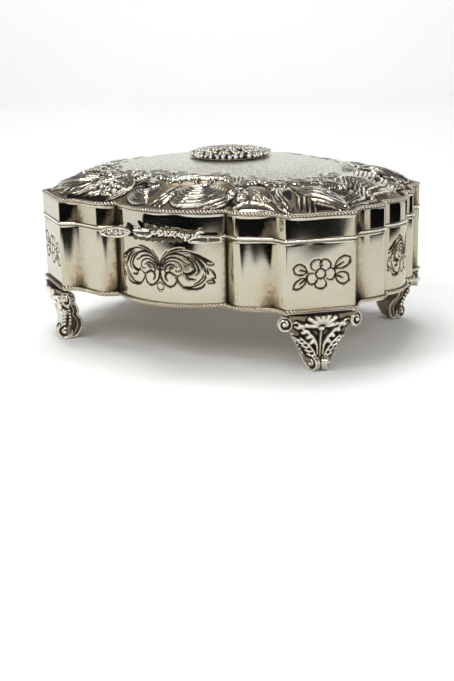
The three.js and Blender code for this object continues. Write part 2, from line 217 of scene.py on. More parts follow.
# ---- relief and engraving charts ----
class Chart:
    """A grid of heights that ridges are pressed into; the tallest one wins at each place."""

    def __init__(self, low, high, step):
        self.low = np.asarray(low, float)
        self.step = step
        self.size = np.ceil((np.asarray(high) - self.low) / step).astype(int) + 1
        self.x = self.low[0] + step * np.arange(self.size[0])
        self.y = self.low[1] + step * np.arange(self.size[1])
        self.height = np.zeros(self.size)

    def ridge(self, points, width, height=1.0, taper=(0.3, 0.3), sharp=0.5):
        """A rounded ridge along a curve, narrower and lower towards its two ends."""
        p = np.asarray(points, float)
        t = np.linspace(0, 1, len(p))
        swell = taper[0] + (1 - taper[0]) * np.sin(np.minimum(t / 0.4, 1) * np.pi / 2)
        swell *= taper[1] + (1 - taper[1]) * np.sin(np.minimum((1 - t) / 0.4, 1) * np.pi / 2)
        half = width / 2 * swell
        tall = height * (0.35 + 0.65 * swell)
        for k in range(len(p) - 1):
            self._segment(p[k], p[k + 1], half[k:k + 2], tall[k:k + 2], sharp)

    def _segment(self, a, b, half, tall, sharp):
        reach = half.max()
        first = np.maximum(np.floor((np.minimum(a, b) - reach - self.low) / self.step).astype(int), 0)
        last = np.minimum(np.ceil((np.maximum(a, b) + reach - self.low) / self.step).astype(int) + 1,
                          self.size)
        if (first >= last).any():
            return
        gx = self.x[first[0]:last[0], None] - a[0]
        gy = self.y[None, first[1]:last[1]] - a[1]
        d = b - a
        t = np.clip((gx * d[0] + gy * d[1]) / max(d @ d, 1e-9), 0, 1)
        gap = np.hypot(gx - t * d[0], gy - t * d[1])
        share = np.clip(1 - (gap / (half[0] + (half[1] - half[0]) * t)) ** 2, 0, 1)
        value = (tall[0] + (tall[1] - tall[0]) * t) * share**sharp
        window = self.height[first[0]:last[0], first[1]:last[1]]
        np.maximum(window, value, out=window)

    def boss(self, centre, radius, height):
        """A rounded lump, round or oval."""
        rx, ry = np.broadcast_to(radius, 2)
        gap = np.hypot((self.x[:, None] - centre[0]) / rx, (self.y[None, :] - centre[1]) / ry)
        np.maximum(self.height, height * np.sqrt(np.clip(1 - gap**2, 0, 1)), out=self.height)

    def blurred(self, sigma):
        """The heights averaged over about sigma millimetres."""
        reach = max(1, int(2.5 * sigma / self.step))
        weights = np.exp(-0.5 * (np.arange(-reach, reach + 1) * self.step / sigma) ** 2)
        weights /= weights.sum()
        out = self.height
        for axis in (0, 1):
            pad = [(0, 0), (0, 0)]
            pad[axis] = (reach, reach)
            padded = np.pad(out, pad, mode="edge")
            out = sum(w * np.take(padded, range(k, k + out.shape[axis]), axis)
                      for k, w in enumerate(weights))
        return out

    def sample(self, x, y, values=None):
        """The heights, or other values on the same grid, at places between the grid's own."""
        grid = self.height if values is None else values
        fx = np.clip((x - self.low[0]) / self.step, 0, self.size[0] - 1.001)
        fy = np.clip((y - self.low[1]) / self.step, 0, self.size[1] - 1.001)
        ix, iy = fx.astype(int), fy.astype(int)
        tx, ty = fx - ix, fy - iy
        return ((grid[ix, iy] * (1 - tx) + grid[ix + 1, iy] * tx) * (1 - ty)
                + (grid[ix, iy + 1] * (1 - tx) + grid[ix + 1, iy + 1] * tx) * ty)


# ---- meshes ----
def mesh_object(name, points, faces, material, attributes=None):
    """An object at the origin from points in millimetres."""
    mesh = bpy.data.meshes.new(name)
    mesh.from_pydata((np.asarray(points) * MM).tolist(), [], [list(map(int, f)) for f in faces])
    mesh.update()
    mesh.shade_smooth()
    for key, values in (attributes or {}).items():
        layer = mesh.attributes.new(key, "FLOAT", "POINT")
        layer.data.foreach_set("value", np.asarray(values, np.float32))
    mesh.materials.append(material)
    made = bpy.data.objects.new(name, mesh)
    bpy.context.scene.collection.objects.link(made)
    return made


def grid_faces(rows, columns, wrap_rows=False, wrap_columns=True):
    """Quads of a grid of points stored row by row."""
    r = np.arange(rows if wrap_rows else rows - 1)
    c = np.arange(columns if wrap_columns else columns - 1)
    a = r[:, None] * columns + c[None, :]
    b = r[:, None] * columns + (c[None, :] + 1) % columns
    up = ((r[:, None] + 1) % rows) * columns
    return np.stack([a, b, up + (c[None, :] + 1) % columns, up + c[None, :]], -1).reshape(-1, 4)


def fan(pole, ring):
    """Triangles from one point to a closed ring of points."""
    return [(pole, a, b) for a, b in zip(ring, np.roll(ring, -1))]


def poled_grid(rows, columns):
    """Faces of stacked rings, closed by a pole at each end; the two poles are stored after the rings."""
    ring, poles = np.arange(columns), rows * columns
    return grid_faces(rows, columns).tolist() + fan(poles, ring) + fan(poles + 1, ring + poles - columns)


def flat_ended_grid(rows, columns):
    """Faces of stacked rings, closed by one flat face at each end."""
    ring = range(columns)
    ends = [tuple(ring)[::-1], tuple(k + (rows - 1) * columns for k in ring)]
    return grid_faces(rows, columns).tolist() + ends


def facing_out(piece):
    """Turns every face of a closed piece outwards."""
    work = bmesh.new()
    work.from_mesh(piece.data)
    bmesh.ops.recalc_face_normals(work, faces=work.faces)
    work.to_mesh(piece.data)
    work.free()
    return piece


class Parts:
    """Several closed lumps gathered into one mesh."""

    def __init__(self):
        self.points, self.faces, self.marks, self.count = [], [], {}, 0

    def add(self, points, faces, **marks):
        points = np.asarray(points, float)
        self.faces += [tuple(int(i) + self.count for i in face) for face in faces]
        for key in set(self.marks) | set(marks):
            earlier = self.marks.setdefault(key, [np.zeros(self.count)])
            earlier.append(np.broadcast_to(marks.get(key, 0.0), len(points)).astype(float))
        self.points.append(points)
        self.count += len(points)

    def build(self, name, material):
        marks = {key: np.concatenate(values) for key, values in self.marks.items()}
        return facing_out(mesh_object(name, np.vstack(self.points), self.faces, material, attributes=marks))


def swept_tube(path, radius, sides=8, closed=False):
    """A round tube along a 3-D path; radius may change along it."""
    p = np.asarray(path, float)
    n = len(p)
    ahead = np.roll(p, -1, 0) if closed else np.vstack([p[1:], 2 * p[-1] - p[-2]])
    behind = np.roll(p, 1, 0) if closed else np.vstack([2 * p[0] - p[1], p[:-1]])
    tangent = ahead - behind
    tangent /= np.linalg.norm(tangent, axis=1)[:, None]
    side = np.cross(tangent, (0, 0, 1))
    weak = np.linalg.norm(side, axis=1) < 1e-4
    side[weak] = (1, 0, 0)
    side /= np.linalg.norm(side, axis=1)[:, None]
    up = np.cross(side, tangent)
    angle = np.arange(sides) / sides * 2 * np.pi
    r = np.broadcast_to(radius, n)[:, None, None]
    offsets = (side[:, None, :] * np.cos(angle)[None, :, None]
               + up[:, None, :] * np.sin(angle)[None, :, None])
    points = (p[:, None, :] + r * offsets).reshape(-1, 3)
    if closed:
        return points, grid_faces(n, sides, wrap_rows=True).tolist()
    return np.vstack([points, p[:1], p[-1:]]), poled_grid(n, sides)


def ball(centre, radius, rings=8, segments=12):
    """A sphere or an ellipsoid."""
    lat = np.linspace(-np.pi / 2, np.pi / 2, rings + 1)[1:-1]
    lon = np.arange(segments) / segments * 2 * np.pi
    unit = np.stack([np.cos(lat)[:, None] * np.cos(lon), np.cos(lat)[:, None] * np.sin(lon),
                     np.repeat(np.sin(lat)[:, None], segments, 1)], -1).reshape(-1, 3)
    unit = np.vstack([unit, (0, 0, -1), (0, 0, 1)])
    return np.asarray(centre) + unit * radius, poled_grid(rings - 1, segments)


# ---- materials ----
def silver(name, tint, polish, oxide=(0.014, 0.013, 0.013), haze=0.08, grain=None, scratches=0.25):
    """Polished silver with a dark oxide where the mesh's patina value is high; on some pieces that value also
    carries painted shade.

    tint is the metal's colour, polish its roughness, haze how much the roughness varies, and
    grain, if given, the size in millimetres of a punched texture and how deep it looks. The mesh's
    satin value says where the metal is matt and punched.
    """
    material = bpy.data.materials.new(name)
    material.use_nodes = True
    tree = material.node_tree
    nodes, links = tree.nodes, tree.links
    shader = nodes["Principled BSDF"]
    shader.inputs["Specular IOR Level"].default_value = 0
    place = nodes.new("ShaderNodeTexCoord").outputs["Object"]

    def noise(size, detail=3.0, stretch=None):
        node = nodes.new("ShaderNodeTexNoise")
        node.inputs["Scale"].default_value = 1 / (size * MM)
        node.inputs["Detail"].default_value = detail
        source = place
        if stretch:
            mapping = nodes.new("ShaderNodeMapping")
            mapping.inputs["Scale"].default_value = stretch
            links.new(place, mapping.inputs["Vector"])
            source = mapping.outputs["Vector"]
        links.new(source, node.inputs["Vector"])
        return node.outputs["Fac"]

    def math_node(operation, a, b, clamp=False):
        node = nodes.new("ShaderNodeMath")
        node.operation, node.use_clamp = operation, clamp
        for socket, value in zip(node.inputs, (a, b)):
            if isinstance(value, (int, float)):
                socket.default_value = value
            else:
                links.new(value, socket)
        return node.outputs[0]

    def mix(factor, a, b):
        node = nodes.new("ShaderNodeMix")
        node.data_type = "RGBA"
        links.new(factor, node.inputs["Factor"])
        for socket, value in ((node.inputs["A"], a), (node.inputs["B"], b)):
            if isinstance(value, tuple):
                socket.default_value = (*value, 1)
            else:
                links.new(value, socket)
        return node.outputs["Result"]

    def attribute(key):
        node = nodes.new("ShaderNodeAttribute")
        node.attribute_name = key
        return node.outputs["Fac"]

    patina = attribute("patina")
    mottle = math_node("MULTIPLY", math_node("SUBTRACT", noise(2.2, 4), 0.5), 0.55)
    edge = math_node("MULTIPLY", patina, math_node("SUBTRACT", 1.0, patina))
    patina = math_node("ADD", patina, math_node("MULTIPLY", math_node("MULTIPLY", mottle, edge), 4.0), True)

    warm = tuple(c * w for c, w in zip(tint, (0.93, 0.86, 0.74)))
    tarnish = math_node("MULTIPLY", math_node("SUBTRACT", noise(16, 4), 0.42), 2.2, True)
    metal = mix(tarnish, tint, warm)
    copper = attribute("copper")
    metal = mix(copper, metal, (0.78, 0.42, 0.28))
    satin = attribute("satin")
    metal = mix(satin, metal, tuple(c * 1.05 for c in tint))
    if grain:
        dimples = nodes.new("ShaderNodeTexVoronoi")
        dimples.inputs["Scale"].default_value = 1 / (grain[0] * MM)
        links.new(place, dimples.inputs["Vector"])
        dimples = dimples.outputs["Distance"]
        pits = math_node("MULTIPLY", math_node("SUBTRACT", 0.5, dimples, True), 2.4, True)
        metal = mix(math_node("MULTIPLY", pits, satin), metal, tuple(c * 0.3 for c in tint))
    film = math_node("MULTIPLY", patina, 2.2, True)
    crust = math_node("MULTIPLY", math_node("SUBTRACT", patina, 0.3), 1.6, True)
    browned = mix(film, metal, tuple(c * w for c, w in zip(tint, (0.62, 0.5, 0.36))))
    links.new(mix(crust, browned, oxide), shader.inputs["Base Color"])
    links.new(math_node("SUBTRACT", 1.0, math_node("MULTIPLY", crust, 0.6)), shader.inputs["Metallic"])

    rough = math_node("ADD", math_node("MULTIPLY", noise(9, 5), haze), polish - haze / 2)
    streaks = noise(1.1, 2, (0.08, 0.08, 1.6))
    rough = math_node("ADD", rough, math_node("MULTIPLY", streaks, haze * 0.4))
    rough = math_node("ADD", rough, math_node("MULTIPLY", crust, 0.3))
    rough = math_node("ADD", rough, math_node("MULTIPLY", satin, 0.3), True)
    links.new(rough, shader.inputs["Roughness"])

    bump = nodes.new("ShaderNodeBump")
    bump.inputs["Distance"].default_value = 0.02 * MM
    bump.inputs["Strength"].default_value = scratches
    links.new(noise(0.35, 2, (0.35, 0.35, 2.2)), bump.inputs["Height"])
    last = bump
    if grain:
        last = nodes.new("ShaderNodeBump")
        last.inputs["Distance"].default_value = grain[1] * MM
        links.new(math_node("ADD", satin, 0.1, True), last.inputs["Strength"])
        links.new(dimples, last.inputs["Height"])
        links.new(bump.outputs["Normal"], last.inputs["Normal"])
    links.new(last.outputs["Normal"], shader.inputs["Normal"])
    return material


WALL_SILVER = silver("wall_silver", (0.565, 0.54, 0.45), 0.06, haze=0.05, scratches=0.15)
DOME_SILVER = silver("dome_silver", (0.78, 0.765, 0.69), 0.12, haze=0.12, grain=(0.95, 0.16))
CAST_SILVER = silver("cast_silver", (0.77, 0.76, 0.70), 0.12, haze=0.1, grain=(0.5, 0.02))
WIRE_SILVER = silver("wire_silver", (0.80, 0.77, 0.68), 0.13)
INSIDE_SILVER = silver("inside_silver", (0.86, 0.83, 0.76), 0.3, haze=0.14, scratches=0.5)
HINGE_SILVER = silver("hinge_silver", (0.60, 0.57, 0.48), 0.18)
PIN_METAL = silver("hinge_pin_metal", (0.62, 0.60, 0.57), 0.3)


def finish_piece(piece, body, slot, *nodes):
    """Hangs a piece on its body in place of the CAD nodes it stands for, and hides those nodes; slot is not
    used.
    """
    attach(piece, body)
    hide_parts(*nodes)


# ---- engraving ----
def station(x, y):
    """How far along a quarter of the outline the nearest point to (x, y) lies."""
    gap = np.linalg.norm(np.abs(QUARTER) - (x, y), axis=1)
    return gap.argmin() * QUARTER_LENGTH / (len(QUARTER) - 1)


GROOVE = station(31.1, 65.4)
CHAMFER_START = station(64.2, 68.5)
CHAMFER_END = station(90, 46)
CHAMFER_MIDDLE = (CHAMFER_START + CHAMFER_END) / 2
SIDE_GROOVE = station(91.1, 15)
ENGRAVING_DEPTH = 0.24
ENGRAVING_STEP = 0.375
SIDE_BOW_SQUEEZE = 0.47

# Half of the scroll engraved on a bow: line width, then the points that the graver passed through.
BOW_STROKES = [
    (0.55, [(4.1, 58.3), (0.9, 53.7), (0.15, 49.7), (0.6, 45), (2.4, 41.9), (5, 40.4), (7.4, 41.2),
            (8.6, 43.5), (8.3, 45.3)]),
    (0.75, [(4.1, 43.3), (3.1, 44.6), (3, 46.1), (4.1, 47.3), (6.1, 47.3), (7.9, 46.3), (9.6, 45.9)]),
    (0.7, [(2.8, 47.5), (3.1, 49.7), (4.6, 51.2), (6.8, 51.5), (9, 50.6)]),
    (0.45, [(1.9, 49), (2.4, 50.8), (4.2, 52.6), (6.8, 53.3), (9.8, 52.6), (11.3, 51), (11.3, 49.3),
            (9.8, 48.3), (8.3, 48.8)]),
    (0.65, [(0.9, 48.3), (1.5, 50.8), (3.5, 53.7), (6.8, 55), (10.5, 54.4), (13.1, 52.6), (14.8, 52.1)]),
    (0.8, [(0.7, 50.4), (1.7, 53.3), (4.2, 55.9), (7.9, 56.8), (12, 56.3), (15.7, 53.7), (17.5, 51.2),
           (17.9, 48.6), (16, 46.8), (13.8, 46.4)]),
    (0.65, [(4.2, 57), (6.8, 58.4), (10.1, 59.3), (13.3, 59.5)]),
    (0.4, [(4.6, 56.4), (8.3, 57.7), (12.7, 58.3), (16.4, 57.6), (20.5, 55.5), (23, 53), (24.5, 51.7),
           (26.7, 51.5), (27.5, 52.6)]),
    (1.3, [(16.4, 57.1), (19.4, 56.2), (23, 54.2), (26.4, 52.9)]),
    (0.6, [(14.2, 56.1), (17.2, 54.1), (19.4, 51.2), (19.9, 48.3), (18.6, 46.8)]),
    (0.6, [(15.7, 56.4), (19, 54.3), (21.2, 51.5), (21.8, 49.7)]),
    (0.6, [(17.9, 55.7), (20.8, 53.3), (22.6, 50.5), (23.2, 47.9)]),
    (0.45, [(23, 49.7), (23.2, 47.2), (22.7, 44.6), (20.5, 42.4), (17.5, 41), (14.2, 40.5), (12, 40.7),
            (10.1, 42.8), (9.2, 45.3), (10.9, 46.8), (13.1, 47.2)]),
    (0.7, [(12, 40.1), (14.9, 39.6), (18.6, 39.7), (21.2, 40.4), (22.9, 42.4)]),
    (0.35, [(22.2, 47.5), (21.7, 45.3), (19.7, 43.2), (17.2, 42)]),
    (0.8, [(13.8, 46), (15.3, 44.6), (18.3, 44.4)]),
    (0.8, [(12.2, 48.3), (13.1, 47), (15.7, 47.5), (17.2, 49)]),
    (0.55, [(24.9, 49.7), (26.8, 48.3), (27.9, 46), (27.5, 44.6), (25.9, 44.9)]),
    (0.45, [(23.8, 50.2), (24.3, 48.6), (24.6, 47)]),
    (0.5, [(23.4, 43.5), (25.3, 42.4), (27.5, 42.8), (26.4, 43.9), (23.8, 43.8)]),
    (0.3, [(5, 48.2), (6, 49.4), (7.4, 49.6)]),
    (0.3, [(4.6, 49.4), (6, 50.4), (7.6, 50.4)]),
]
BOW_RING = ((0, 40.3), 1.9)

FLOWER_CENTRE = (-0.3, 49.1)
FLOWER_EYE = 2.4
PETAL_REACH = 7.3
PETAL_ANGLES = (116, 61, -5, -90, 207)
LEAVES = [((-6.6, 50.2), (-13.8, 52.6), 4.6), ((-6.8, 47.6), (-13.9, 42.4), 3.4),
          ((6.3, 51.2), (14.6, 56.2), 4.6), ((6.7, 48.2), (14, 44.9), 5.2)]


def bow_engraving():
    chart = Chart((-1, 37.5), (30, 62), 0.12)
    for width, points in BOW_STROKES:
        chart.ridge(catmull(points, 6), width * 1.2 + 0.3, 1.0, taper=(0.4, 0.4), sharp=0.6)
    chart.ridge(arc(*BOW_RING, 0, 360, 30), 0.5, 1.0, taper=(1, 1), sharp=0.8)
    return chart


def petal(angle):
    """A petal's outline: out along one side, round the tip and back along the other."""
    steps = [(0.34, -30), (0.72, -33), (0.94, -19), (1, 0), (0.96, 17), (0.72, 32), (0.34, 30)]
    return [(FLOWER_CENTRE[0] + PETAL_REACH * r * math.cos(math.radians(angle + turn)),
             FLOWER_CENTRE[1] + PETAL_REACH * r * math.sin(math.radians(angle + turn)))
            for r, turn in steps]


def leaf_outline(base, tip, width):
    """Both edges of a pointed leaf, and the start of its midrib."""
    base, tip = np.array(base), np.array(tip)
    across = np.array((base[1] - tip[1], tip[0] - base[0]))
    across = across / np.linalg.norm(across) * width / 2
    edges = [[base, base + (tip - base) * 0.35 + across * s * 0.95, base + (tip - base) * 0.75 + across * s,
              tip] for s in (1, -1)]
    return edges, [base, base + (tip - base) * 0.3, base + (tip - base) * 0.6]


def flower_engraving():
    chart = Chart((-17, 38), (17, 60), 0.12)
    chart.ridge(arc(FLOWER_CENTRE, FLOWER_EYE, 0, 360, 30), 0.85, 1.0, taper=(1, 1), sharp=0.8)
    for angle in PETAL_ANGLES:
        chart.ridge(catmull(petal(angle), 6), 0.95, 1.0, taper=(0.4, 0.4), sharp=0.8)
    for base, tip, width in LEAVES:
        edges, midrib = leaf_outline(base, tip, width)
        for edge in edges:
            chart.ridge(catmull(edge, 8), 0.95, 1.0, taper=(0.4, 0.9), sharp=0.8)
        chart.ridge(catmull(midrib, 6), 1.1, 1.0, taper=(0.6, 0.2), sharp=0.8)
    return chart


def engraved_marks(rim, z):
    """How deeply each place on the wall is cut, from 0 to 1."""
    bow, flower = bow_engraving(), flower_engraving()
    q = np.broadcast_to(rim.quarter, z.shape)
    on_bow = q < GROOVE - 1.5
    on_chamfer = (q > CHAMFER_START + 1) & (q < CHAMFER_END - 1)
    on_side = q > SIDE_GROOVE + 1
    marks = np.zeros(z.shape)
    marks[on_bow] = bow.sample(q[on_bow], z[on_bow])
    marks[on_chamfer] = flower.sample(q[on_chamfer] - CHAMFER_MIDDLE, z[on_chamfer])
    marks[on_side] = bow.sample((QUARTER_LENGTH - q[on_side]) / SIDE_BOW_SQUEEZE, z[on_side])
    return marks


# ---- walls ----
# A foot stands in the middle of its cut corner: the corner's outward direction, and the foot's place.
CORNER_NORMAL = (0.6573, 0.7537)
CORNER_REACH = 93.8
FOOT_PLACE = (77.1, 57.25)


def wall_columns(fine, coarse):
    """Stations round the outline, close together where the wall is engraved."""
    stops = [(0, GROOVE - 2, fine), (GROOVE - 2, GROOVE + 3, 0.5), (GROOVE + 3, CHAMFER_START + 1, coarse),
             (CHAMFER_START + 1, CHAMFER_END - 1, fine), (CHAMFER_END - 1, SIDE_GROOVE - 3, coarse),
             (SIDE_GROOVE - 3, SIDE_GROOVE + 1, 0.5), (SIDE_GROOVE + 1, QUARTER_LENGTH, fine)]
    quarter = np.concatenate([np.arange(a, b, step) for a, b, step in stops])
    mirrored = 2 * QUARTER_LENGTH - quarter[:0:-1]
    half = np.concatenate([quarter, [QUARTER_LENGTH], mirrored])
    return np.concatenate([half, half + 2 * QUARTER_LENGTH])


def valley_tarnish_and_shade(rim, z, bottom):
    """Darkening in the grooves beside the bows and low in the coves: partly tarnish left where a cloth
    doesn't reach, partly painted shade, the floor's shadow as these hollows reflect it.
    """
    q = rim.quarter
    cove = station(55, 65.6)
    side_cove = station(88.2, 37.5)
    groove = 0.9 * np.exp(-((q - GROOVE) / 1.0) ** 2) + 0.9 * np.exp(-((q - SIDE_GROOVE) / 1.0) ** 2)
    groove += 0.2 * np.exp(-((q - GROOVE) / 3.0) ** 2) + 0.2 * np.exp(-((q - SIDE_GROOVE) / 3.0) ** 2)
    # Painted shade low in the coves, with some tarnish; it grows darker towards the bottom edge.
    cove_tarnish_and_shade = np.exp(-((q - cove) / 5) ** 2) + 1.7 * np.exp(-((q - side_cove) / 6) ** 2)
    cove_tarnish_and_shade += 0.9 * np.exp(-((q - GROOVE - 3) / 4.5) ** 2) + 0.15
    edges = cove_tarnish_and_shade * (0.8 * math.exp(-(z - bottom) / 6.0) + 0.17)
    return np.clip(groove + edges, 0, 1)


def wall_ring(name, heights, rim, z_rows, marks_for=None):
    """A closed wall of sheet: the worked outer face, rounded edges and a plain inner face."""
    bottom, top = heights
    edge = 0.2
    count = len(rim.point)
    rows, patina = [], []
    phase = rim.along / (4 * QUARTER_LENGTH) * 2 * np.pi
    for inset, z in ((edge, bottom), (edge * 0.3, bottom + edge * 0.3)):
        rows.append(rim.ring(inset, z))
        patina.append(np.full(count, 0.7))
    z_grid = np.repeat(z_rows[:, None], count, 1)
    marks = marks_for(rim, z_grid) if marks_for else np.zeros(z_grid.shape)
    for z, mark in zip(z_rows, marks):
        wobble = 0.035 * np.sin(9 * phase + 0.11 * z) + 0.03 * np.sin(23 * phase - 0.2 * z + 1.7)
        rows.append(rim.ring(wobble + ENGRAVING_DEPTH * mark, z))
        # Darker towards the bottom edge by the rope; in the grooves and coves the darkening is partly tarnish
        # and partly painted shade.
        low = np.exp(-(z - bottom) / 0.9) * 0.8
        valley = valley_tarnish_and_shade(rim, z, bottom)
        patina.append(np.clip(mark * 3.2 - 0.1, 0, 1) + (1 - mark) * np.maximum(valley, low))
    for inset, z in ((edge * 0.3, top - edge * 0.3), (edge, top), (WALL - edge, top)):
        rows.append(rim.ring(inset, z))
        patina.append(np.full(count, 0.25))
    for z in np.linspace(top - edge, bottom + edge, 6):
        rows.append(rim.radial_ring(WALL, z))
        patina.append(np.full(count, 0.12))
    rows.append(rim.radial_ring(WALL - edge, bottom))
    patina.append(np.full(count, 0.5))
    faces = grid_faces(len(rows), count, wrap_rows=True)
    patina = np.clip(np.concatenate(patina), 0, 1)
    points = np.vstack(rows)
    copper = copper_stain(points)
    piece = mesh_object(name, points, faces, WALL_SILVER, attributes={"patina": patina, "copper": copper})
    return facing_out(piece)


def copper_stain(points):
    """The red-brown stain of solder over the feet."""
    x, y = np.abs(points[:, 0]), np.abs(points[:, 1])
    chamfer = x * CORNER_NORMAL[0] + y * CORNER_NORMAL[1] - CORNER_REACH
    across = (x - FOOT_PLACE[0]) * CORNER_NORMAL[1] - (y - FOOT_PLACE[1]) * CORNER_NORMAL[0]
    near = np.exp(-(chamfer / 1.8) ** 2) * np.exp(-((across + 2.5) / 6.5) ** 2)
    return np.clip(near * smoothstep(33.2, 31.4, points[:, 2]), 0, 1)


def base_wall():
    rim = Rim(wall_columns(ENGRAVING_STEP, 1.1))
    fine = np.arange(38.5, 61.5, ENGRAVING_STEP)
    z_rows = np.concatenate([np.linspace(BASE_WALL[0] + 0.25, 38, 7), fine,
                             np.linspace(61.8, BASE_WALL[1] - 0.25, 3)])
    piece = wall_ring("base_wall_engraved", BASE_WALL, rim, z_rows, engraved_marks)
    finish_piece(piece, "base", "wall_silver", "base_wall")


def lid_wall():
    rim = even_rim(0.6)
    z_rows = np.linspace(LID_WALL[0] + 0.25, LID_WALL[1] - 0.25, 8)
    piece = wall_ring("lid_wall_plain", LID_WALL, rim, z_rows)
    finish_piece(piece, "lid", "wall_silver", "lid_wall")


# ---- mouldings, floor and bezel ----
def rope(name, centre_inset, z, radius, pitch, body, node):
    """Two wires twisted together, running right round the outline."""
    turns = int(round(4 * QUARTER_LENGTH / pitch))
    rim = Rim(np.arange(turns * 10) * 4 * QUARTER_LENGTH / (turns * 10), soften=0.9)
    phase = np.arange(turns * 10) / 10 * 2 * np.pi
    parts = Parts()
    centre = rim.ring(centre_inset, z)
    for start in (0, np.pi):
        inset = centre_inset + radius * 0.48 * np.cos(phase + start)
        path = rim.ring(inset, z + radius * 0.48 * np.sin(phase + start))
        points, faces = swept_tube(path, radius * 0.56, sides=8, closed=True)
        gap = np.linalg.norm(points - np.repeat(centre, 8, 0), axis=1) / radius
        parts.add(points, faces, patina=1 - smoothstep(0.72, 0.97, gap), copper=copper_stain(points))
    finish_piece(parts.build(name, WIRE_SILVER), body, "wire_silver", node)


def lip_bead():
    """Half-round wire on the lid's lower edge, cut away where the hinge is."""
    hinge_gap = BEARER_HALF_LENGTH + 1
    middle = 2 * QUARTER_LENGTH
    along = np.arange(middle + hinge_gap, middle + 4 * QUARTER_LENGTH - hinge_gap, 0.6)
    rim = Rim(along, soften=0.6)
    angle = np.linspace(-np.pi / 2, np.pi / 2, 9)
    bulge = [(-0.1 - 0.8 * math.cos(a), LID_WALL[0] + 0.75 + 0.75 * math.sin(a)) for a in angle[1:-1]]
    section = [(-0.1, LID_WALL[0])] + bulge + [(-0.1, LID_WALL[0] + 1.5)]
    rings = np.stack([rim.ring(inset, z) for inset, z in section], 1)
    count, sides = rings.shape[:2]
    faces = flat_ended_grid(count, sides)
    patina = np.tile([0.9, 0.5, 0.08, 0, 0, 0, 0.1, 0.5, 0.9], count)[:count * sides]
    piece = mesh_object("lid_lip_wire", rings.reshape(-1, 3), faces, WIRE_SILVER,
                        attributes={"patina": patina})
    finish_piece(facing_out(piece), "lid", "wire_silver", "lid_lip_bead")


def ring_piece(name, rim, section, material, patina=0.1):
    """A strip bent round the whole outline, from its closed section of insets and heights."""
    points = np.vstack([rim.radial_ring(inset, z) for inset, z in section])
    faces = grid_faces(len(section), len(rim.point), wrap_rows=True)
    marks = {"patina": np.full(len(points), patina)}
    return facing_out(mesh_object(name, points, faces, material, attributes=marks))


def inner_bezel():
    outer, inner, low, high = BEZEL
    soft = 0.2
    section = [(outer, low), (inner, low), (inner, high - soft), (inner - soft, high),
               (outer + soft, high), (outer, high - soft)]
    piece = ring_piece("bezel_strip", even_rim(0.8), section, INSIDE_SILVER)
    finish_piece(piece, "base", "inside_silver", "inner_bezel")


def base_floor():
    rim = even_rim(0.8)
    count = len(rim.point)
    shares = (0.75, 0.5, 0.25)
    outer = rim.ring(0.2, 0) * (1, 1, 0)
    rows = [outer * (s, s, 1) + (0, 0, FLOOR_BOTTOM) for s in shares[::-1]]
    rows += [rim.ring(0.4, FLOOR_BOTTOM), rim.ring(0.2, FLOOR_BOTTOM + 0.2), rim.ring(0.2, FLOOR_TOP - 0.2),
             rim.ring(0.4, FLOOR_TOP)]
    rows += [outer * (s, s, 1) + (0, 0, FLOOR_TOP) for s in shares]
    points = np.vstack(rows + [[(0, 0, FLOOR_BOTTOM)], [(0, 0, FLOOR_TOP)]])
    faces = poled_grid(len(rows), count)
    patina = 0.1 + 0.5 * np.exp(-(np.linalg.norm(points[:, :2], axis=1) - 62) ** 2 / 900)
    piece = mesh_object("floor_plate", points, faces, INSIDE_SILVER, attributes={"patina": patina})
    finish_piece(facing_out(piece), "base", "inside_silver", "base_floor")


# ---- chased motifs ----
def palmette(chart, foot, angles, reaches, width, height, curl=0.12):
    """A fan of flutes from one point, the outer ones curling over."""
    for angle, reach in zip(angles, reaches):
        a, b = math.radians(angle), math.radians(angle - (90 - angle) * curl)
        middle = (foot[0] + 0.55 * reach * math.cos(a), foot[1] + 0.55 * reach * math.sin(a))
        tip = (foot[0] + reach * math.cos(b), foot[1] + reach * math.sin(b))
        chart.ridge(catmull([foot, middle, tip], 8), width, height, taper=(0.3, 0.75))


def rosette(chart, centre, radius, petals, height):
    """A small flower: petals round a raised eye."""
    for k in range(petals):
        angle = 2 * math.pi * (k + 0.5) / petals
        tip = (centre[0] + radius * math.cos(angle), centre[1] + radius * math.sin(angle))
        chart.ridge([centre, tip], radius * 0.75, height, taper=(0.5, 0.9))
    chart.boss(centre, radius * 0.3, height * 1.15)


# ---- dome ----
DOME_COLUMNS = 1080
SOLID_CROWN = 270
INNER_COLUMNS = 270
SLANT = 1.15
BAND_ROWS = np.concatenate([np.arange(0, 31, 0.53), np.arange(31, 46.5, 0.97)])
# The dome's turned edge, from its outer corner to its inner one: inset, height and patina.
DOME_FLANGE = ((1.55, 76.7, 0.9), (1.4, 76.5, 0.9), (1.4, 76.0, 0.6), (1.55, 75.8, 0.3), (3.1, 75.8, 0.2))


def dome_chart(step):
    """A chart of the dome's front half: along the outline from its middle, and in from the rim."""
    reach = QUARTER_LENGTH + 14
    return Chart((-reach, -2), (reach, RELIEF_WIDTH + 1), step)


def flutes(chart, first, last, count, width=1.9, height=1.5, taper=(0.45, 0.45)):
    """Ridges lying side by side from one curve to another, as in a shell or a wing."""
    a, b = resample(catmull(first, 8), 1.2), catmull(last, 8)
    t = np.linspace(0, 1, len(a))
    even = np.linspace(0, 1, len(b))
    b = np.stack([np.interp(t, even, b[:, k]) for k in (0, 1)], 1)
    for k, share in enumerate(np.linspace(0, 1, count)):
        chart.ridge(a * (1 - share) + b * share, width, height * (1 - 0.12 * (k % 2)), taper=taper)


def leaf_tip(chart, a, r, lean, length):
    """A small curled tip of three flutes, where the chasing dies away into the crown."""
    ahead = np.array((math.cos(math.radians(lean)), math.sin(math.radians(lean))))
    out = np.array((-ahead[1], ahead[0]))
    for k, spread in enumerate((-1, 0, 1)):
        start = np.array((a, r)) + out * spread * 0.5
        middle = start + ahead * length * 0.55 + out * spread * 1.5
        end = start + ahead * length * (1 - 0.12 * abs(spread)) + out * spread * 0.6
        chart.ridge(catmull([start, middle, end], 5), 1.3, 1.0 - 0.15 * k, taper=(0.5, 0.5))


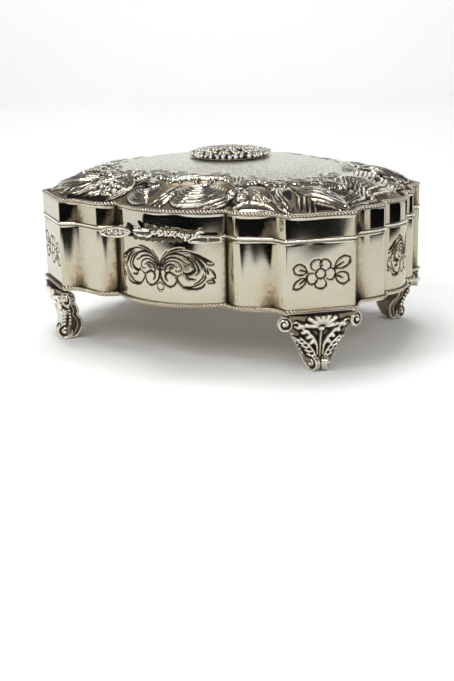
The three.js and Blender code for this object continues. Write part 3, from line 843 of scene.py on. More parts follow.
def nested_leaf(chart, a, r, lean):
    """A long leaf lying along the edge of the crown: strands one inside another, under two short tips."""
    for size in (1.0, 0.72, 0.46):
        strand = [(-8, -1), (-6.5, 1.9), (-1, 3.1), (4.5, 2.3), (8, -0.6)]
        chart.ridge(catmull([(a + lean * size * x, r + size * y) for x, y in strand], 6), 1.1, 1.2,
                    taper=(0.8, 0.5))
    for reach in (2.5, 6):
        tip = [(a + lean * (reach + x), r + y) for x, y in ((0, 2.6), (1.6, 4.6), (4.4, 5.4))]
        chart.ridge(catmull(tip, 5), 1.2, 1.1, taper=(0.8, 0.4))


def dome_swellings():
    """The broad rise and fall under the flutes."""
    chart = dome_chart(0.5)
    for a, r, radius, height in ((98, 13, (9, 11), 1.8), (119, 14, (9, 10), 2.2),
                                 (146, 15, (14, 11), 2.2), (72, 13, (4.5, 11), 1.3)):
        for side in (-1, 1):
            chart.boss((side * a, r), radius, height)
    for a, r, radius, height in ((17, 12, (17, 11), 1.6), (-22, 13, (12, 10), 1.3), (-49, 12, (5, 5), 1.7),
                                 (52, 2.5, (12, 4.5), 1.5), (51, 12, (9, 7), 0.9), (-84, 10, (7, 6), 1.0),
                                 (-2, 12, (5, 9), 0.7), (-64, 21, (9, 4), 0.8)):
        chart.boss((a, r), radius, height)
    return chart


def dome_hollows_and_shade():
    """Where the sheet is driven back between the scrolls; the darkening added there is painted shade under
    the overhanging scrolls and bands.
    """
    chart = dome_chart(0.5)
    for line, width in (([(4, 28), (14, 31), (26, 31.5), (38, 30.5), (47, 28)], 3.2),
                        ([(-36, 9), (-33, 13), (-27, 16), (-20, 14.5)], 5.0),
                        ([(-82, 4), (-72, 4), (-62, 2.8), (-50, 3.4), (-42, 3)], 4.5),
                        ([(34, 4.5), (38, 6), (43, 5)], 4.0), ([(78, 13), (80, 18), (84, 22)], 4.5),
                        ([(84, 4), (89, 6), (96, 4)], 4.5),
                        ([(113, 10), (121, 11), (128, 16), (130, 19)], 4.5),
                        ([(150, 15), (156, 17)], 4.0), ([(-95, 4), (-110, 6), (-120, 10)], 4.5),
                        ([(58, 24), (66, 25), (74, 22)], 3.0), ([(-54, 21), (-64, 24), (-74, 24)], 2.6)):
        chart.ridge(catmull(line, 8), width, 1.0, taper=(0.5, 0.5))
    return chart


def front_bow_chasing(chart):
    flutes(chart, [(1, 15), (4, 6), (12, 3.5), (22, 4.5), (31, 9.5), (34, 17)],
           [(9, 20), (10.5, 16.5), (14, 15), (18, 15), (21.5, 16.5), (22.5, 19.5)], 7)
    chart.boss((20.5, 18.5), (3.4, 1.8), 1.7)
    flutes(chart, [(-9, 22), (-2, 26.5), (8, 28.5), (20, 28.5), (30, 27.5), (36, 24)],
           [(-8, 25), (-2, 29), (8, 31), (20, 31), (31, 30), (38, 27)], 2, 2.3, 1.8)
    flutes(chart, [(-9, 3.5), (-5, 8), (-1, 13), (2, 20)],
           [(-2, 3), (0, 7), (2.5, 11), (4, 15)], 3, 1.8, 1.5)
    flutes(chart, [(-12, 20), (-19, 23), (-29, 21), (-33.5, 14), (-31, 6), (-21, 2.8), (-12, 5)],
           [(-17, 15), (-19, 16.5), (-22, 16), (-24, 13.5), (-22.5, 10.8), (-19.5, 10), (-17, 11.5)],
           6, 1.7, 1.5)
    flutes(chart, [(-42, 19.5), (-34, 23.5), (-24, 25.5), (-14, 24.5)],
           [(-41, 22.5), (-33, 26.5), (-24, 28.5), (-12, 27)], 2, 2.2, 1.7)
    for a, r in ((-30, 22.5), (-20, 24.5), (-9, 25)):
        chart.boss((a, r), (3.4, 1.7), 2.1)


def right_bay_chasing(chart):
    palmette(chart, (45.5, 19.5), (146, 128, 110, 92, 74, 56, 38), (12, 13, 14, 14.5, 14, 13.5, 14),
             1.5, 1.4)
    flutes(chart, [(45, 20), (38, 13.5), (29, 7), (19, 3)],
           [(46, 17), (40, 10.5), (34, 5), (26, 2)], 3, 1.7, 1.5)
    flutes(chart, [(44, 19), (52, 19.5), (59, 15.5), (62.5, 9)],
           [(46, 15), (51, 15), (55, 11.5), (57, 7)], 4, 1.6, 1.5)
    chart.boss((47, 10.5), 2.3, 2.3)
    for angle in np.radians(np.arange(150, 400, 42)):
        chart.boss((49.5 + 4.3 * math.cos(angle), 10.3 + 3.6 * math.sin(angle)), 1.25, 1.9)
    chart.ridge(catmull([(41, 2.5), (46, 5.6), (53, 6.6), (60, 5.4), (65, 2.5)], 8), 2.2, 1.5)
    for k in range(7):
        chart.boss((60.5 + 1.6 * k, 12 - 0.55 * k), 1.0, 1.6)
    flutes(chart, [(54, 24.5), (62, 27.5), (72, 26.5), (82, 27)],
           [(54, 27), (62, 30), (72, 29.5), (82, 30)], 2, 2.0, 1.6)


def side_wall_chasing(chart, side):
    """The corner and side of one end, the same at the left as at the right."""
    def place(points):
        return [(side * a, r) for a, r in points]

    flutes(chart, place([(72, 2.5), (67.5, 8), (67, 14), (70, 20), (75.5, 24)]),
           place([(75, 2.5), (74.5, 8), (74, 14), (75.5, 18), (78.5, 20.5)]), 4, 1.8, 1.7)
    flutes(chart, place([(78, 3), (81, 9), (84.5, 14.5), (85.5, 20)]),
           place([(81, 3), (83.5, 8), (86.5, 12.5), (89, 16)]), 2, 1.1, 1.0)
    for peak in ([(83.5, 2.5), (86, 7.5), (89, 12), (95, 7.5), (103, 2.5)],
                 [(86.5, 2.5), (88.2, 6.5), (89.6, 8.6), (93.5, 6), (99, 2.5)]):
        chart.ridge(resample(np.array(place(peak), float), 1.0), 1.2, 1.3, taper=(0.8, 0.8))
    flutes(chart, place([(106, 2.5), (98, 8.5), (92, 14), (88, 19), (87, 25)]),
           place([(109, 3), (109.5, 9), (107, 15), (102, 20), (96.5, 22.5)]), 7, 1.9, 1.7)
    flutes(chart, place([(84, 27), (94, 28.5), (104, 27), (113, 25)]),
           place([(85, 30), (95, 31.5), (105, 30), (115, 28)]), 2, 2.0, 1.6)
    flutes(chart, place([(110, 20), (115, 23.5), (122, 22), (127, 15.5), (124.5, 8), (116, 5)]),
           place([(115, 16), (117.5, 17), (120, 16), (120.5, 13.5), (118.5, 12), (116.5, 12.5)]), 5, 1.6, 1.5)
    chart.boss((side * 117, 14.3), 1.3, 1.9)
    flutes(chart, place([(113, 2.5), (120, 3), (128, 4), (133, 8)]),
           place([(112, 5), (119, 5), (126, 7), (130, 10)]), 2, 1.6, 1.3)
    flutes(chart, place([(130, 5), (138, 8.5), (148, 11), (160, 11)]),
           place([(127, 22), (135, 25.5), (147, 27), (160, 26)]), 8, 1.9, 1.5)
    chart.ridge(catmull(place([(126, 3), (136, 4.5), (146, 6.5), (158, 7)]), 8), 1.6, 1.4)
    rosette(chart, (side * 137.5, 5.5), 2.6, 5, 2.0)


def left_bay_chasing(chart):
    rosette(chart, (-49, 12), 4.0, 7, 1.3)
    flutes(chart, [(-44, 2.5), (-38.5, 8), (-38, 14.5), (-43, 19.5), (-51, 20.5)],
           [(-45, 6.5), (-42.5, 9.5), (-42.5, 14), (-45.5, 17), (-51, 17.5)], 3, 1.5, 1.5)
    chart.ridge(arc((-49, 12), (6.6, 5.4), 120, 300, 24), 1.2, 1.2, taper=(0.8, 0.8))
    flutes(chart, [(-70, 15.5), (-62, 18), (-54, 19.5), (-46, 21)],
           [(-72, 20), (-63, 23), (-54, 24), (-45, 24.5)], 3, 1.9, 1.6)
    for a, r, size in ((-66, 10, 2.2), (-61, 13, 1.8), (-58, 17, 2.0), (-60, 6, 1.6)):
        chart.boss((a, r), size, 1.9)
    flutes(chart, [(-66, 3), (-61, 5), (-57, 9), (-56, 14)],
           [(-62, 2.5), (-57.5, 4), (-54.5, 7), (-53.5, 10)], 2, 1.5, 1.4)


def dome_flutes():
    """The chasing on the front half, repeated as a mirror image on the back half."""
    chart = dome_chart(0.2)
    front_bow_chasing(chart)
    right_bay_chasing(chart)
    left_bay_chasing(chart)
    for side in (-1, 1):
        side_wall_chasing(chart, side)
    for k, a in enumerate(np.arange(-150, 152, 6.3)):
        leaf_tip(chart, a, 27.5 + 2 * (k % 3), (25, 155, 75, 110)[k % 4], 6.5 - (k % 2))
    for k, a in enumerate(np.arange(-147, 150, 12.1)):
        curl = spiral((a, 25 + 1.5 * (k % 2)), 2.6, 0.9, 200 * (k % 2), 1.0 - 2 * (k % 2), 18)
        chart.ridge(curl, 1.3, 1.2, taper=(0.7, 0.5))
    for k, a in enumerate(np.arange(-152, 150, 16.8)):
        nested_leaf(chart, a, 31.5 + 1.5 * (k % 2), 1 - 2 * (k % 2))
    return chart


def dome_points(rim_points, s):
    """Places on the dome under the relief: s is 0 at the crown and 1 at the rim."""
    reach = np.linalg.norm(rim_points, axis=-1)
    direction = rim_points / reach[..., None]
    round_reach = 1 / np.hypot(direction[..., 0] / 93, direction[..., 1] / 72)
    radius = (round_reach + (reach - round_reach) * smoothstep(0.6, 1, s) ** 1.5) * s
    height = DOME_RIM + DOME_RISE * (1 - s**DOME_POWER)
    return np.concatenate([direction * radius[..., None], height[..., None]], -1)


def dome_normals(grid):
    """Upward unit normals of a grid of points whose rows run inwards and columns round."""
    inward = np.gradient(grid, axis=0)
    across = np.roll(grid, -1, 1) - np.roll(grid, 1, 1)
    normal = np.cross(across, inward)
    normal *= np.sign(normal[..., 2:].sum())
    return normal / np.linalg.norm(normal, axis=-1)[..., None]


def stitch(fine, coarse):
    """Faces between a ring of points and one with a whole fraction as many."""
    ratio = len(fine) // len(coarse)
    faces = []
    for k in range(len(coarse)):
        share = [fine[(k * ratio + j) % len(fine)] for j in range(ratio + 1)]
        faces.append((*share, coarse[(k + 1) % len(coarse)], coarse[k]))
    return faces


def dome_skin(columns, inward, relief, sink, scale):
    """One face of the dome's sheet: its points, patina and satin, in rows from the rim to the pole.

    relief gives a height in millimetres for a place along and in from the rim, and how far that
    place lies below its surroundings, which darkens it; on the outside this also carries painted shade where
    the sheet is driven back.
    """
    rim = Rim(np.arange(columns) * 4 * QUARTER_LENGTH / columns, soften=0.8)
    edge = rim.radial_ring(2.2, 0)[:, :2]
    s = 1 - inward[:, None] / (SLANT * np.linalg.norm(edge, axis=1))[None, :]
    grid = dome_points(np.broadcast_to(edge, (len(inward), columns, 2)), s)
    along = np.broadcast_to(rim.half, s.shape)
    depth = np.broadcast_to(inward[:, None], s.shape)
    fade = smoothstep(-0.2, 1.6, depth) * smoothstep(RELIEF_WIDTH, RELIEF_WIDTH - 4, depth)
    fade *= 1 - 0.6 * smoothstep(25, 40, depth)
    height, low = relief(along, depth)
    height = height * fade
    grid = grid + dome_normals(grid) * (height * scale - sink)[..., None]
    ground = smoothstep(0.75, 0.2, height) * smoothstep(27, 17, depth)
    # Oxide on the chased ground and in low places; on the outside the low value also carries painted shade.
    patina = np.clip(ground * 0.72 + smoothstep(0.06, 0.42, low * fade), 0, 1)
    patina *= 1 - 0.3 * smoothstep(24, 36, depth)
    satin = smoothstep(24, 34, depth) * (0.4 + 0.6 * smoothstep(0.6, 0.2, height))

    coarse = min(columns, SOLID_CROWN)
    ratio = columns // coarse
    shares = np.linspace(1, 0, 12)[1:-1]
    crown_edge = np.broadcast_to(edge[::ratio], (len(shares), coarse, 2))
    crown = dome_points(crown_edge, s[-1, ::ratio] * shares[:, None])
    crown[..., 2] -= sink
    points = np.vstack([grid.reshape(-1, 3), crown.reshape(-1, 3), [(0, 0, DOME_RIM + DOME_RISE - sink)]])
    rows = len(inward)
    start = rows * columns
    faces = grid_faces(rows, columns).tolist()
    faces += stitch(np.arange(columns) + (rows - 1) * columns, np.arange(coarse) + start)
    faces += (grid_faces(len(shares), coarse) + start).tolist()
    faces += fan(len(points) - 1, np.arange(coarse) + start + (len(shares) - 1) * coarse)
    plain = np.zeros(len(points) - start)
    return points, faces, np.concatenate([patina.ravel(), plain]), np.concatenate([satin.ravel(), plain + 1])


def lid_dome():
    swell, chart, hollows = dome_swellings(), dome_flutes(), dome_hollows_and_shade()
    broad, sunk_and_shaded = swell.blurred(1.6), hollows.blurred(0.8)
    crisp, halo, soft = chart.blurred(0.2), chart.blurred(0.8), chart.blurred(1.2)

    def outside(along, depth):
        hollow_and_shade = hollows.sample(along, depth, sunk_and_shaded)
        height = chart.sample(along, depth, crisp) * (1 - 0.5 * hollow_and_shade)
        low = 1.2 * (chart.sample(along, depth, halo) - height)
        # The driven-back places are lowered and darkened; the darkening is painted shade.
        return swell.sample(along, depth, broad) * (1 - 0.6 * hollow_and_shade) + height, low + 0.4 * hollow_and_shade

    def inside(along, depth):
        height = chart.sample(along, depth, soft)
        return swell.sample(along, depth, broad) + height, 0.4 - height

    outer, outer_faces, outer_patina, outer_satin = dome_skin(DOME_COLUMNS, BAND_ROWS, outside, 0, 1)
    inner, inner_faces, inner_patina, _ = dome_skin(INNER_COLUMNS, BAND_ROWS[::2], inside, DOME_SHEET, 0.85)
    rim = Rim(np.arange(INNER_COLUMNS) * 4 * QUARTER_LENGTH / INNER_COLUMNS, soften=0.8)
    flange = [rim.radial_ring(inset, z) for inset, z, _ in DOME_FLANGE]
    flange_start = len(outer)
    inner_start = flange_start + len(flange) * INNER_COLUMNS
    ring = np.arange(INNER_COLUMNS)
    last = inner_start - INNER_COLUMNS
    faces = list(outer_faces)
    faces += stitch(np.arange(DOME_COLUMNS), ring + flange_start)
    faces += (grid_faces(len(flange), INNER_COLUMNS) + flange_start).tolist()
    faces += [(last + a, last + b, inner_start + b, inner_start + a) for a, b in zip(ring, np.roll(ring, -1))]
    faces += [tuple(i + inner_start for i in face) for face in inner_faces]
    flange_patina = np.repeat([mark for _, _, mark in DOME_FLANGE], INNER_COLUMNS)
    marks = {"patina": np.concatenate([outer_patina, flange_patina, inner_patina * 0.35 + 0.1]),
             "satin": np.concatenate([outer_satin, np.zeros(len(flange_patina)), np.full(len(inner), 0.5)])}
    piece = mesh_object("chased_dome", np.vstack([outer, *flange, inner]), faces, DOME_SILVER,
                        attributes=marks)
    finish_piece(facing_out(piece), "lid", "dome_silver", "lid_dome")


# ---- feet ----
LEG_HALF_WIDTH = [(0, 4.6), (3, 5.8), (6, 7.0), (9, 8.2), (12, 9.8), (16.5, 12.2), (22, 14.6), (29.3, 16.4)]
LEG_BACK = [(0, -7), (2, -10.2), (7.5, -12.4), (11.5, -11.4), (14.6, -9.2), (17, -9.4), (20, -8.2),
            (24.5, -5.6), (29.3, -4)]
TOE_CENTRE = (-3.4, 4.0)
TOE_RADIUS = 4.0
TOE_SPREAD = 3.2
TOE_HALF_WIDTH = 1.5
TOE_TURN = 25
CORNER_SCROLL = (17.2, -2.2, 25.2)
CORNER_RADIUS = 3.7
CORNER_TURN = 28


def leg_half_width(z):
    heights, widths = zip(*LEG_HALF_WIDTH)
    return np.interp(z, heights, widths)


def leg_lean(z):
    """How far the leg's middle line stands in from the top of its foot."""
    return -5.6 * np.sin(np.minimum((1 - z / FOOT_TOP) / 0.72, 1) * np.pi / 2)


def leg_back(z):
    """How far the back of the leg stands from the foot's frame; it swells in two lobes."""
    line = catmull(LEG_BACK, 8)
    return np.interp(z, line[:, 0], line[:, 1])


def leg_relief():
    """Leaves climbing both sides of a stem, under a shell at the top."""
    chart = Chart((-20, 0), (20, 30), 0.14)
    chart.ridge([(0, 21), (0, 14), (0, 7)], 1.2, 1.5, taper=(1, 0.6))
    for angle, reach in zip((90, 64, 38, 12, 116, 142, 168), (6.6, 7.2, 8.0, 7.8, 7.2, 8.0, 7.8)):
        way = np.array((math.cos(math.radians(angle)), math.sin(math.radians(angle))))
        lobe = [way * r + (0, 22.8) for r in (1.9, reach * 0.6, reach)]
        chart.ridge(catmull(lobe, 6), 2.7, 2.3, taper=(0.35, 1.0))
    chart.boss((0, 22.2), (1.9, 1.5), 2.0)
    for side in (-1, 1):
        upper = catmull([(side * 1.3, 8.5), (side * 2.0, 14), (side * 4.6, 18.6), (side * 9.4, 22.6)], 8)
        chart.ridge(upper, 1.5, 2.0, taper=(0.6, 0.8))
        for k, (reach, lift) in enumerate(((2.6, 1.8), (3.0, 1.6), (3.2, 1.8), (2.6, 2.6))):
            root = upper[8 + 5 * k]
            lobe = [root, root + (side * reach * 0.55, lift * 0.9), root + (side * reach, lift * 0.5)]
            chart.ridge(catmull(lobe, 5), 2.6, 2.1, taper=(0.6, 1.0))
        lower = catmull([(side * 2.0, 7.4), (side * 3.6, 10.8), (side * 6.4, 14.4), (side * 9.8, 17.6)], 8)
        chart.ridge(lower, 1.4, 1.9, taper=(0.6, 0.8))
        for k in range(5):
            root = lower[3 + 5 * k]
            lobe = [root, root + (side * 1.5, -0.5), root + (side * 3.4, 0.3)]
            chart.ridge(catmull(lobe, 5), 1.6, 1.9, taper=(0.6, 0.9))
        chart.ridge(spiral((side * 12.6, 24.6), 2.2, 0.7, 90 - side * 90, side * 1.0), 1.2, 1.8)
    return chart


def leg():
    """The cast bracket of a foot, in its own frame: across, outwards and up."""
    rows, columns, flank, rear_columns = 92, 76, 9, 22
    chart = leg_relief()
    z = np.linspace(0.5, FOOT_TOP, rows)[:, None]
    u = np.linspace(-1, 1, columns)[None, :]
    half = leg_half_width(z)
    lean, back = leg_lean(z), leg_back(z)
    x = u * half
    height = np.broadcast_to(z, x.shape)
    relief = chart.sample(x, height, chart.blurred(0.14)) * smoothstep(5, 8, z)
    low = chart.sample(x, height, chart.blurred(0.9)) - chart.sample(x, height)
    crown = np.sqrt(np.clip(1 - np.abs(u) ** 2.6, 0, 1))
    front = np.stack([x, lean + 0.6 + 2.2 * crown + relief, height], -1)
    patina = np.clip(0.12 + 0.5 * smoothstep(1.1, 0.3, relief) + 0.5 * smoothstep(0, 0.4, low), 0, 1)
    patina *= 1 - 0.95 * smoothstep(1.5, 1.9, relief)
    t = np.linspace(0, 1, flank + 2)[None, 1:-1]
    side_y = (front[:, -1:, 1] * (1 - t) + (back + 1.2) * t)
    side_x = half - 0.9 * np.sin(np.pi * t) ** 0.7
    side_z = np.broadcast_to(z, side_y.shape)
    right = np.stack([side_x, side_y, side_z], -1)
    left = np.stack([-side_x, side_y, side_z], -1)[:, ::-1]
    v = np.linspace(1, -1, rear_columns)[None, :]
    swell = np.sqrt(np.clip(1 - v**2, 0, 1))
    rear = np.stack([v * half, back + 1.2 - 1.2 * swell, np.broadcast_to(z, (rows, rear_columns))], -1)
    points = np.concatenate([front, right, rear, left], 1)
    marks = np.concatenate([patina, np.full((rows, flank), 0.85), np.full((rows, rear_columns), 0.7),
                            np.full((rows, flank), 0.85)], 1)
    width = points.shape[1]
    return points.reshape(-1, 3), flat_ended_grid(rows, width), marks.ravel()


def volute(radius, half_width, turns, groove=0.55, sides=44):
    """A rolled scroll about the x axis, with a raised spiral line on both of its ends."""
    pitch = radius * 0.8 / turns
    angle = np.arange(sides) / sides * 2 * np.pi
    reaches = np.linspace(0.14, 0.93, 16) * radius
    half, marks = [], []
    for reach in reaches:
        phase = (reach / pitch - angle / (2 * np.pi)) % 1
        line = np.exp(-((phase - 0.5) / 0.2) ** 2)
        line = np.maximum(line, smoothstep(0.84, 0.9, reach / radius))
        swell = half_width * (1 + 0.22 * (1 - reach / radius))
        half.append((swell - groove * (1 - line), np.full(sides, reach)))
        marks.append(0.95 * (1 - line))
    rim_mark = 0.12 + 0.1 * np.sin(angle * 5) * np.sin(angle * 2 + 1)
    for lean in (0.35, 0.8, 1.0):
        drop = half_width * (1 - 0.14 * lean - 0.12 * lean**3)
        rounded = radius * (0.95 + 0.05 * math.sin(lean * math.pi / 2))
        half.append((np.full(sides, drop), np.full(sides, rounded)))
        marks.append(rim_mark * lean)
    waist = (np.zeros(sides), np.full(sides, radius * 0.97))
    rings = half + [waist] + [(-across, reach) for across, reach in half[::-1]]
    patina = np.concatenate(marks + [rim_mark + 0.2] + marks[::-1])
    points = np.vstack([np.stack([across, reach * np.cos(angle), reach * np.sin(angle)], 1)
                        for across, reach in rings])
    points = np.vstack([points, [(half_width - groove * 0.3, 0, 0), (-half_width + groove * 0.3, 0, 0)]])
    faces = poled_grid(len(rings), sides)
    return points, faces, np.concatenate([np.clip(patina, 0, 1), [0.3, 0.3]])


def turned_by(points, degrees):
    """The same points turned about the upright axis."""
    c, d = math.cos(math.radians(degrees)), math.sin(math.radians(degrees))
    return points @ np.array([[c, d, 0], [-d, c, 0], [0, 0, 1]])


def leg_edge(side, inward, lift):
    """A raised line following the back of the leg down its flank, from the corner scroll to the toe."""
    z = np.linspace(22.5, 1.4, 40)
    y = leg_back(z) + 0.9 + inward
    x = side * (leg_half_width(z) - 0.25 + lift)
    start = [(side * (CORNER_SCROLL[0] - 1.2), CORNER_SCROLL[1] - 1.6 + inward,
              CORNER_SCROLL[2] - CORNER_RADIUS + 0.4)]
    end = [(side * (TOE_SPREAD + 1.2), TOE_CENTRE[0] - 2.2, 0.7 + inward * 0.6)]
    return resample(np.vstack([start, np.stack([x, y, z], 1), end]), 0.8)


def foot_parts():
    """A whole foot in its own frame."""
    parts = Parts()
    points, faces, marks = leg()
    parts.add(points, faces, patina=marks)
    for side in (-1, 1):
        for inward, lift, radius, mark in ((0, 0, 0.62, 0.12), (2.3, -0.5, 0.4, 0.3)):
            line, faces = swept_tube(leg_edge(side, inward, lift), radius, 8)
            parts.add(line, faces, patina=mark)
        for radius, half_width, turns, eye_size, turn, place in (
                (TOE_RADIUS, TOE_HALF_WIDTH, 1.25, 0.95, side * TOE_TURN, (side * TOE_SPREAD, *TOE_CENTRE)),
                (CORNER_RADIUS, 2.0, 1.15, 1.15, 90 - side * CORNER_TURN,
                 (side * CORNER_SCROLL[0], *CORNER_SCROLL[1:]))):
            points, faces, marks = volute(radius, half_width, turns)
            parts.add(turned_by(points, turn) + place, faces, patina=marks)
            for end in (-1, 1):
                eye, faces = ball((end * half_width * 1.15, 0, 0), eye_size, 6, 12)
                parts.add(turned_by(eye, turn) + place, faces, patina=0.05)
        for z in np.arange(9.5, 21, 2.1):
            centre = (side * (leg_half_width(z) - 0.3), float(leg_lean(z)) + 0.6, z)
            pearl, faces = ball(centre, (0.7, 0.8, 0.9), 6, 8)
            parts.add(pearl, faces, patina=0.15)
    return parts


def foot(name, sign_x, sign_y, node):
    parts = foot_parts()
    outward = np.array((CORNER_NORMAL[0] * sign_x, CORNER_NORMAL[1] * sign_y, 0))
    across = np.cross(outward, (0, 0, 1))
    frame_axes = np.stack([across, outward, (0, 0, 1)])
    place = np.array((FOOT_PLACE[0] * sign_x, FOOT_PLACE[1] * sign_y, 0))
    parts.points = [points @ frame_axes + place for points in parts.points]
    finish_piece(parts.build(name, CAST_SILVER), "base", "cast_silver", node)


# ---- thumb piece ----
STRIP = [(-38.5, -72.7), (-31, -72.3), (-25, -73.7), (-15, -77.9), (0, -80.1), (15, -77.9), (25, -73.3),
         (32, -69.4)]

# The strip's ribs and leaves, from left to right: points (across, height, outwards), radius, patina.
THUMB_LEAVES = [
    ([(-21, 65.6, 0.8), (-18, 66.2, 1.0), (-14.6, 66.4, 0.6)], 0.8, 0.2),
    ([(-14.0, 66.6, 0.6), (-14.6, 69.0, 0.8), (-17, 70.6, 0.3)], 1.3, 0.95),
    ([(-13.6, 67.5, 0.8), (-8, 68.4, 1.3), (-3, 68.2, 0.8)], 1.1, 0.03),
    ([(-12.8, 66.6, 0.8), (-9.4, 65.7, 1.2), (-6.2, 65.4, 0.7)], 0.85, 0.08),
    ([(-9.6, 63.6, 0.2), (0, 63.3, 0.3), (9.4, 64.0, 0.2)], 0.5, 0.25),
    ([(-6.3, 66.2, 0.8), (-4, 65.5, 1.2), (-1.4, 66.2, 0.7)], 0.85, 0.08),
    ([(15.6, 66.6, 1.0), (15.9, 65.2, 1.3), (15.4, 64.1, 0.8)], 0.8, 0.05),
    ([(17.5, 63.9, 0.6), (23, 63.4, 1.0), (30, 63.6, 0.6)], 0.8, 0.05),
    ([(20, 66.0, 0.8), (21, 67.8, 1.0), (22.8, 68.6, 0.8), (23.8, 67.8, 0.5)], 0.75, 0.08),
    ([(20.6, 66.2, 0.7), (22.4, 66.6, 1.0), (23.2, 65.8, 0.6)], 0.7, 0.2),
    ([(25, 63.6, 0.3), (25.4, 64.8, 0.6), (25, 66.0, 0.3)], 0.7, 0.25),
]


def on_strip(x, z, out=0.0):
    """A place on the thumb piece, by how far across the front it is."""
    line = catmull(STRIP, 12)
    return np.array((x, np.interp(x, line[:, 0], line[:, 1]) - out, z))


def leaf_tube(parts, points, radius, patina=0.1, blunt=0.55):
    """A tapering rib or leaf through points given as across, height and outwards."""
    path = catmull([on_strip(*point) for point in points], 6)
    t = np.linspace(0, 1, len(path))
    swell = radius * (0.25 + 0.75 * np.sin(np.pi * np.clip(t, 0.02, 0.98)) ** blunt)
    tube, faces = swept_tube(path, swell, 8)
    parts.add(tube, faces, patina=patina)


def blossom(parts, x, z, size):
    """A small uneven cluster of buds."""
    for k in range(6):
        angle = k * 2 * math.pi / 6 + rng.uniform(-0.4, 0.4)
        reach = size * rng.uniform(0.55, 0.8)
        bud = size * rng.uniform(0.34, 0.5)
        centre = on_strip(x + reach * math.cos(angle), z + 0.8 * reach * math.sin(angle),
                          rng.uniform(0.8, 1.5))
        parts.add(*ball(centre, (bud, bud * 0.9, bud * 0.8), 6, 10), patina=0.05)
    parts.add(*ball(on_strip(x, z, 1.9), size * 0.34, 6, 10), patina=0.0)


def thumb_piece():
    """An openwork rocaille strip: a knotted loop, leaves and blossoms over dark scallops, a barred loop."""
    parts = Parts()
    # A black tube behind the openwork: painted shade that darkens the gaps.
    shade_backing = catmull([on_strip(x, 65.2 + 0.03 * x, -0.9) for x in (-35, -28, -18, -8, 2, 12, 20, 29)], 8)
    tube, faces = swept_tube(shade_backing, 1.0, 8)
    parts.add(tube, faces, patina=1.0)
    left_loop = [(-36.5, 63.8), (-33, 65.8), (-26, 66.8), (-18, 67.3), (-15.6, 66.3), (-19, 64.4), (-23, 63),
                 (-30, 62.3), (-35, 62.7), (-36.5, 63.8)]
    right_loop = [(17, 64.6), (20, 65.9), (25.5, 66.1), (29.8, 65.8), (31, 64.6), (30.3, 63.5), (23.5, 63.3),
                  (18, 63.6), (17, 64.6)]
    for loop in (left_loop, right_loop):
        leaf_tube(parts, [(x, z, 0.5) for x, z in loop], 0.8, 0.12, blunt=0.2)
    for x, z, radius, turn in ((-30.8, 64.5, 1.5, 40), (-26.4, 64.9, 1.4, 160), (-22.4, 65.4, 1.2, 60)):
        leaf_tube(parts, [(a, b, 1.0) for a, b in spiral((x, z), radius, 0.5, turn, 1.1, 14)], 0.6, 0.05)
    for x, z, size in ((-33.2, 64.4, 1.0), (-28.6, 65.2, 1.2), (-24.4, 64.6, 1.1), (-19.4, 65.9, 0.9)):
        blossom(parts, x, z, size)
    for x, z in ((-11.8, 69.2), (-10.2, 69.4)):
        parts.add(*ball(on_strip(x, z, 0.8), 0.65, 6, 10))
    for x, z, size in ((-0.2, 67.4, 1.6), (3.2, 67.7, 2.1), (7.0, 67.5, 1.9), (10.4, 67.4, 2.2),
                       (13.8, 67.0, 1.8), (16.8, 66.8, 1.5), (19.6, 67.1, 1.2)):
        blossom(parts, x, z, size)
    for points, radius, patina in THUMB_LEAVES:
        leaf_tube(parts, points, radius, patina)
    for x in (-11.3, -8.0, -4.6, -1.0, 2.6, 6.2, 9.8, 13.2):
        leaf_tube(parts, [(x - 1.7, 65.6, 0.3), (x - 0.2, 63.9, 0.8), (x + 1.7, 65.4, 0.3)], 0.95, 0.8)
    finish_piece(parts.build("rocaille_thumb_piece", CAST_SILVER), "lid", "cast_silver", "thumb_piece")


# ---- medallion ----
def medallion_height(reach):
    return 95.5 + 2.9 * (1 - (reach / MEDALLION_RADIUS) ** 1.5)


def turned_points(profile, sides):
    """Points of a shape turned about the z axis; the profile's ends lie on the axis."""
    angle = np.arange(sides) / sides * 2 * np.pi
    body = [np.stack([r * np.cos(angle), r * np.sin(angle), np.full(sides, z)], 1)
            for r, z in profile[1:-1]]
    points = np.vstack(body + [[(0, 0, profile[0][1])], [(0, 0, profile[-1][1])]])
    return points, poled_grid(len(body), sides)


def medallion_plate():
    parts = Parts()
    profile = [(0, 94.5), (10, 94.5), (19.6, 94.5), (20, 94.7), (20, 95.1), (19.6, 95.3), (10, 95.3),
               (0, 95.3)]
    points, faces = turned_points(profile, 96)
    parts.add(points, faces, patina=0.5)
    finish_piece(parts.build("medallion_back", CAST_SILVER), "lid", "cast_silver", "medallion_plate")


def flower(parts, centre, radius, turn):
    """A five-petalled flower of small domed petals round an eye."""
    for k in range(5):
        angle = turn + k * 2 * math.pi / 5
        place = centre + radius * 0.62 * np.array((math.cos(angle), math.sin(angle), 0))
        place[2] = medallion_height(np.hypot(*place[:2])) + rng.uniform(0.2, 0.7)
        petal_size = radius * rng.uniform(0.3, 0.38)
        parts.add(*ball(place, (petal_size, petal_size, 1.15), 6, 10), patina=rng.uniform(0, 0.2))
    eye = np.array(centre)
    eye[2] = medallion_height(np.hypot(*eye[:2])) + 0.85
    parts.add(*ball(eye, radius * 0.26, 6, 10))


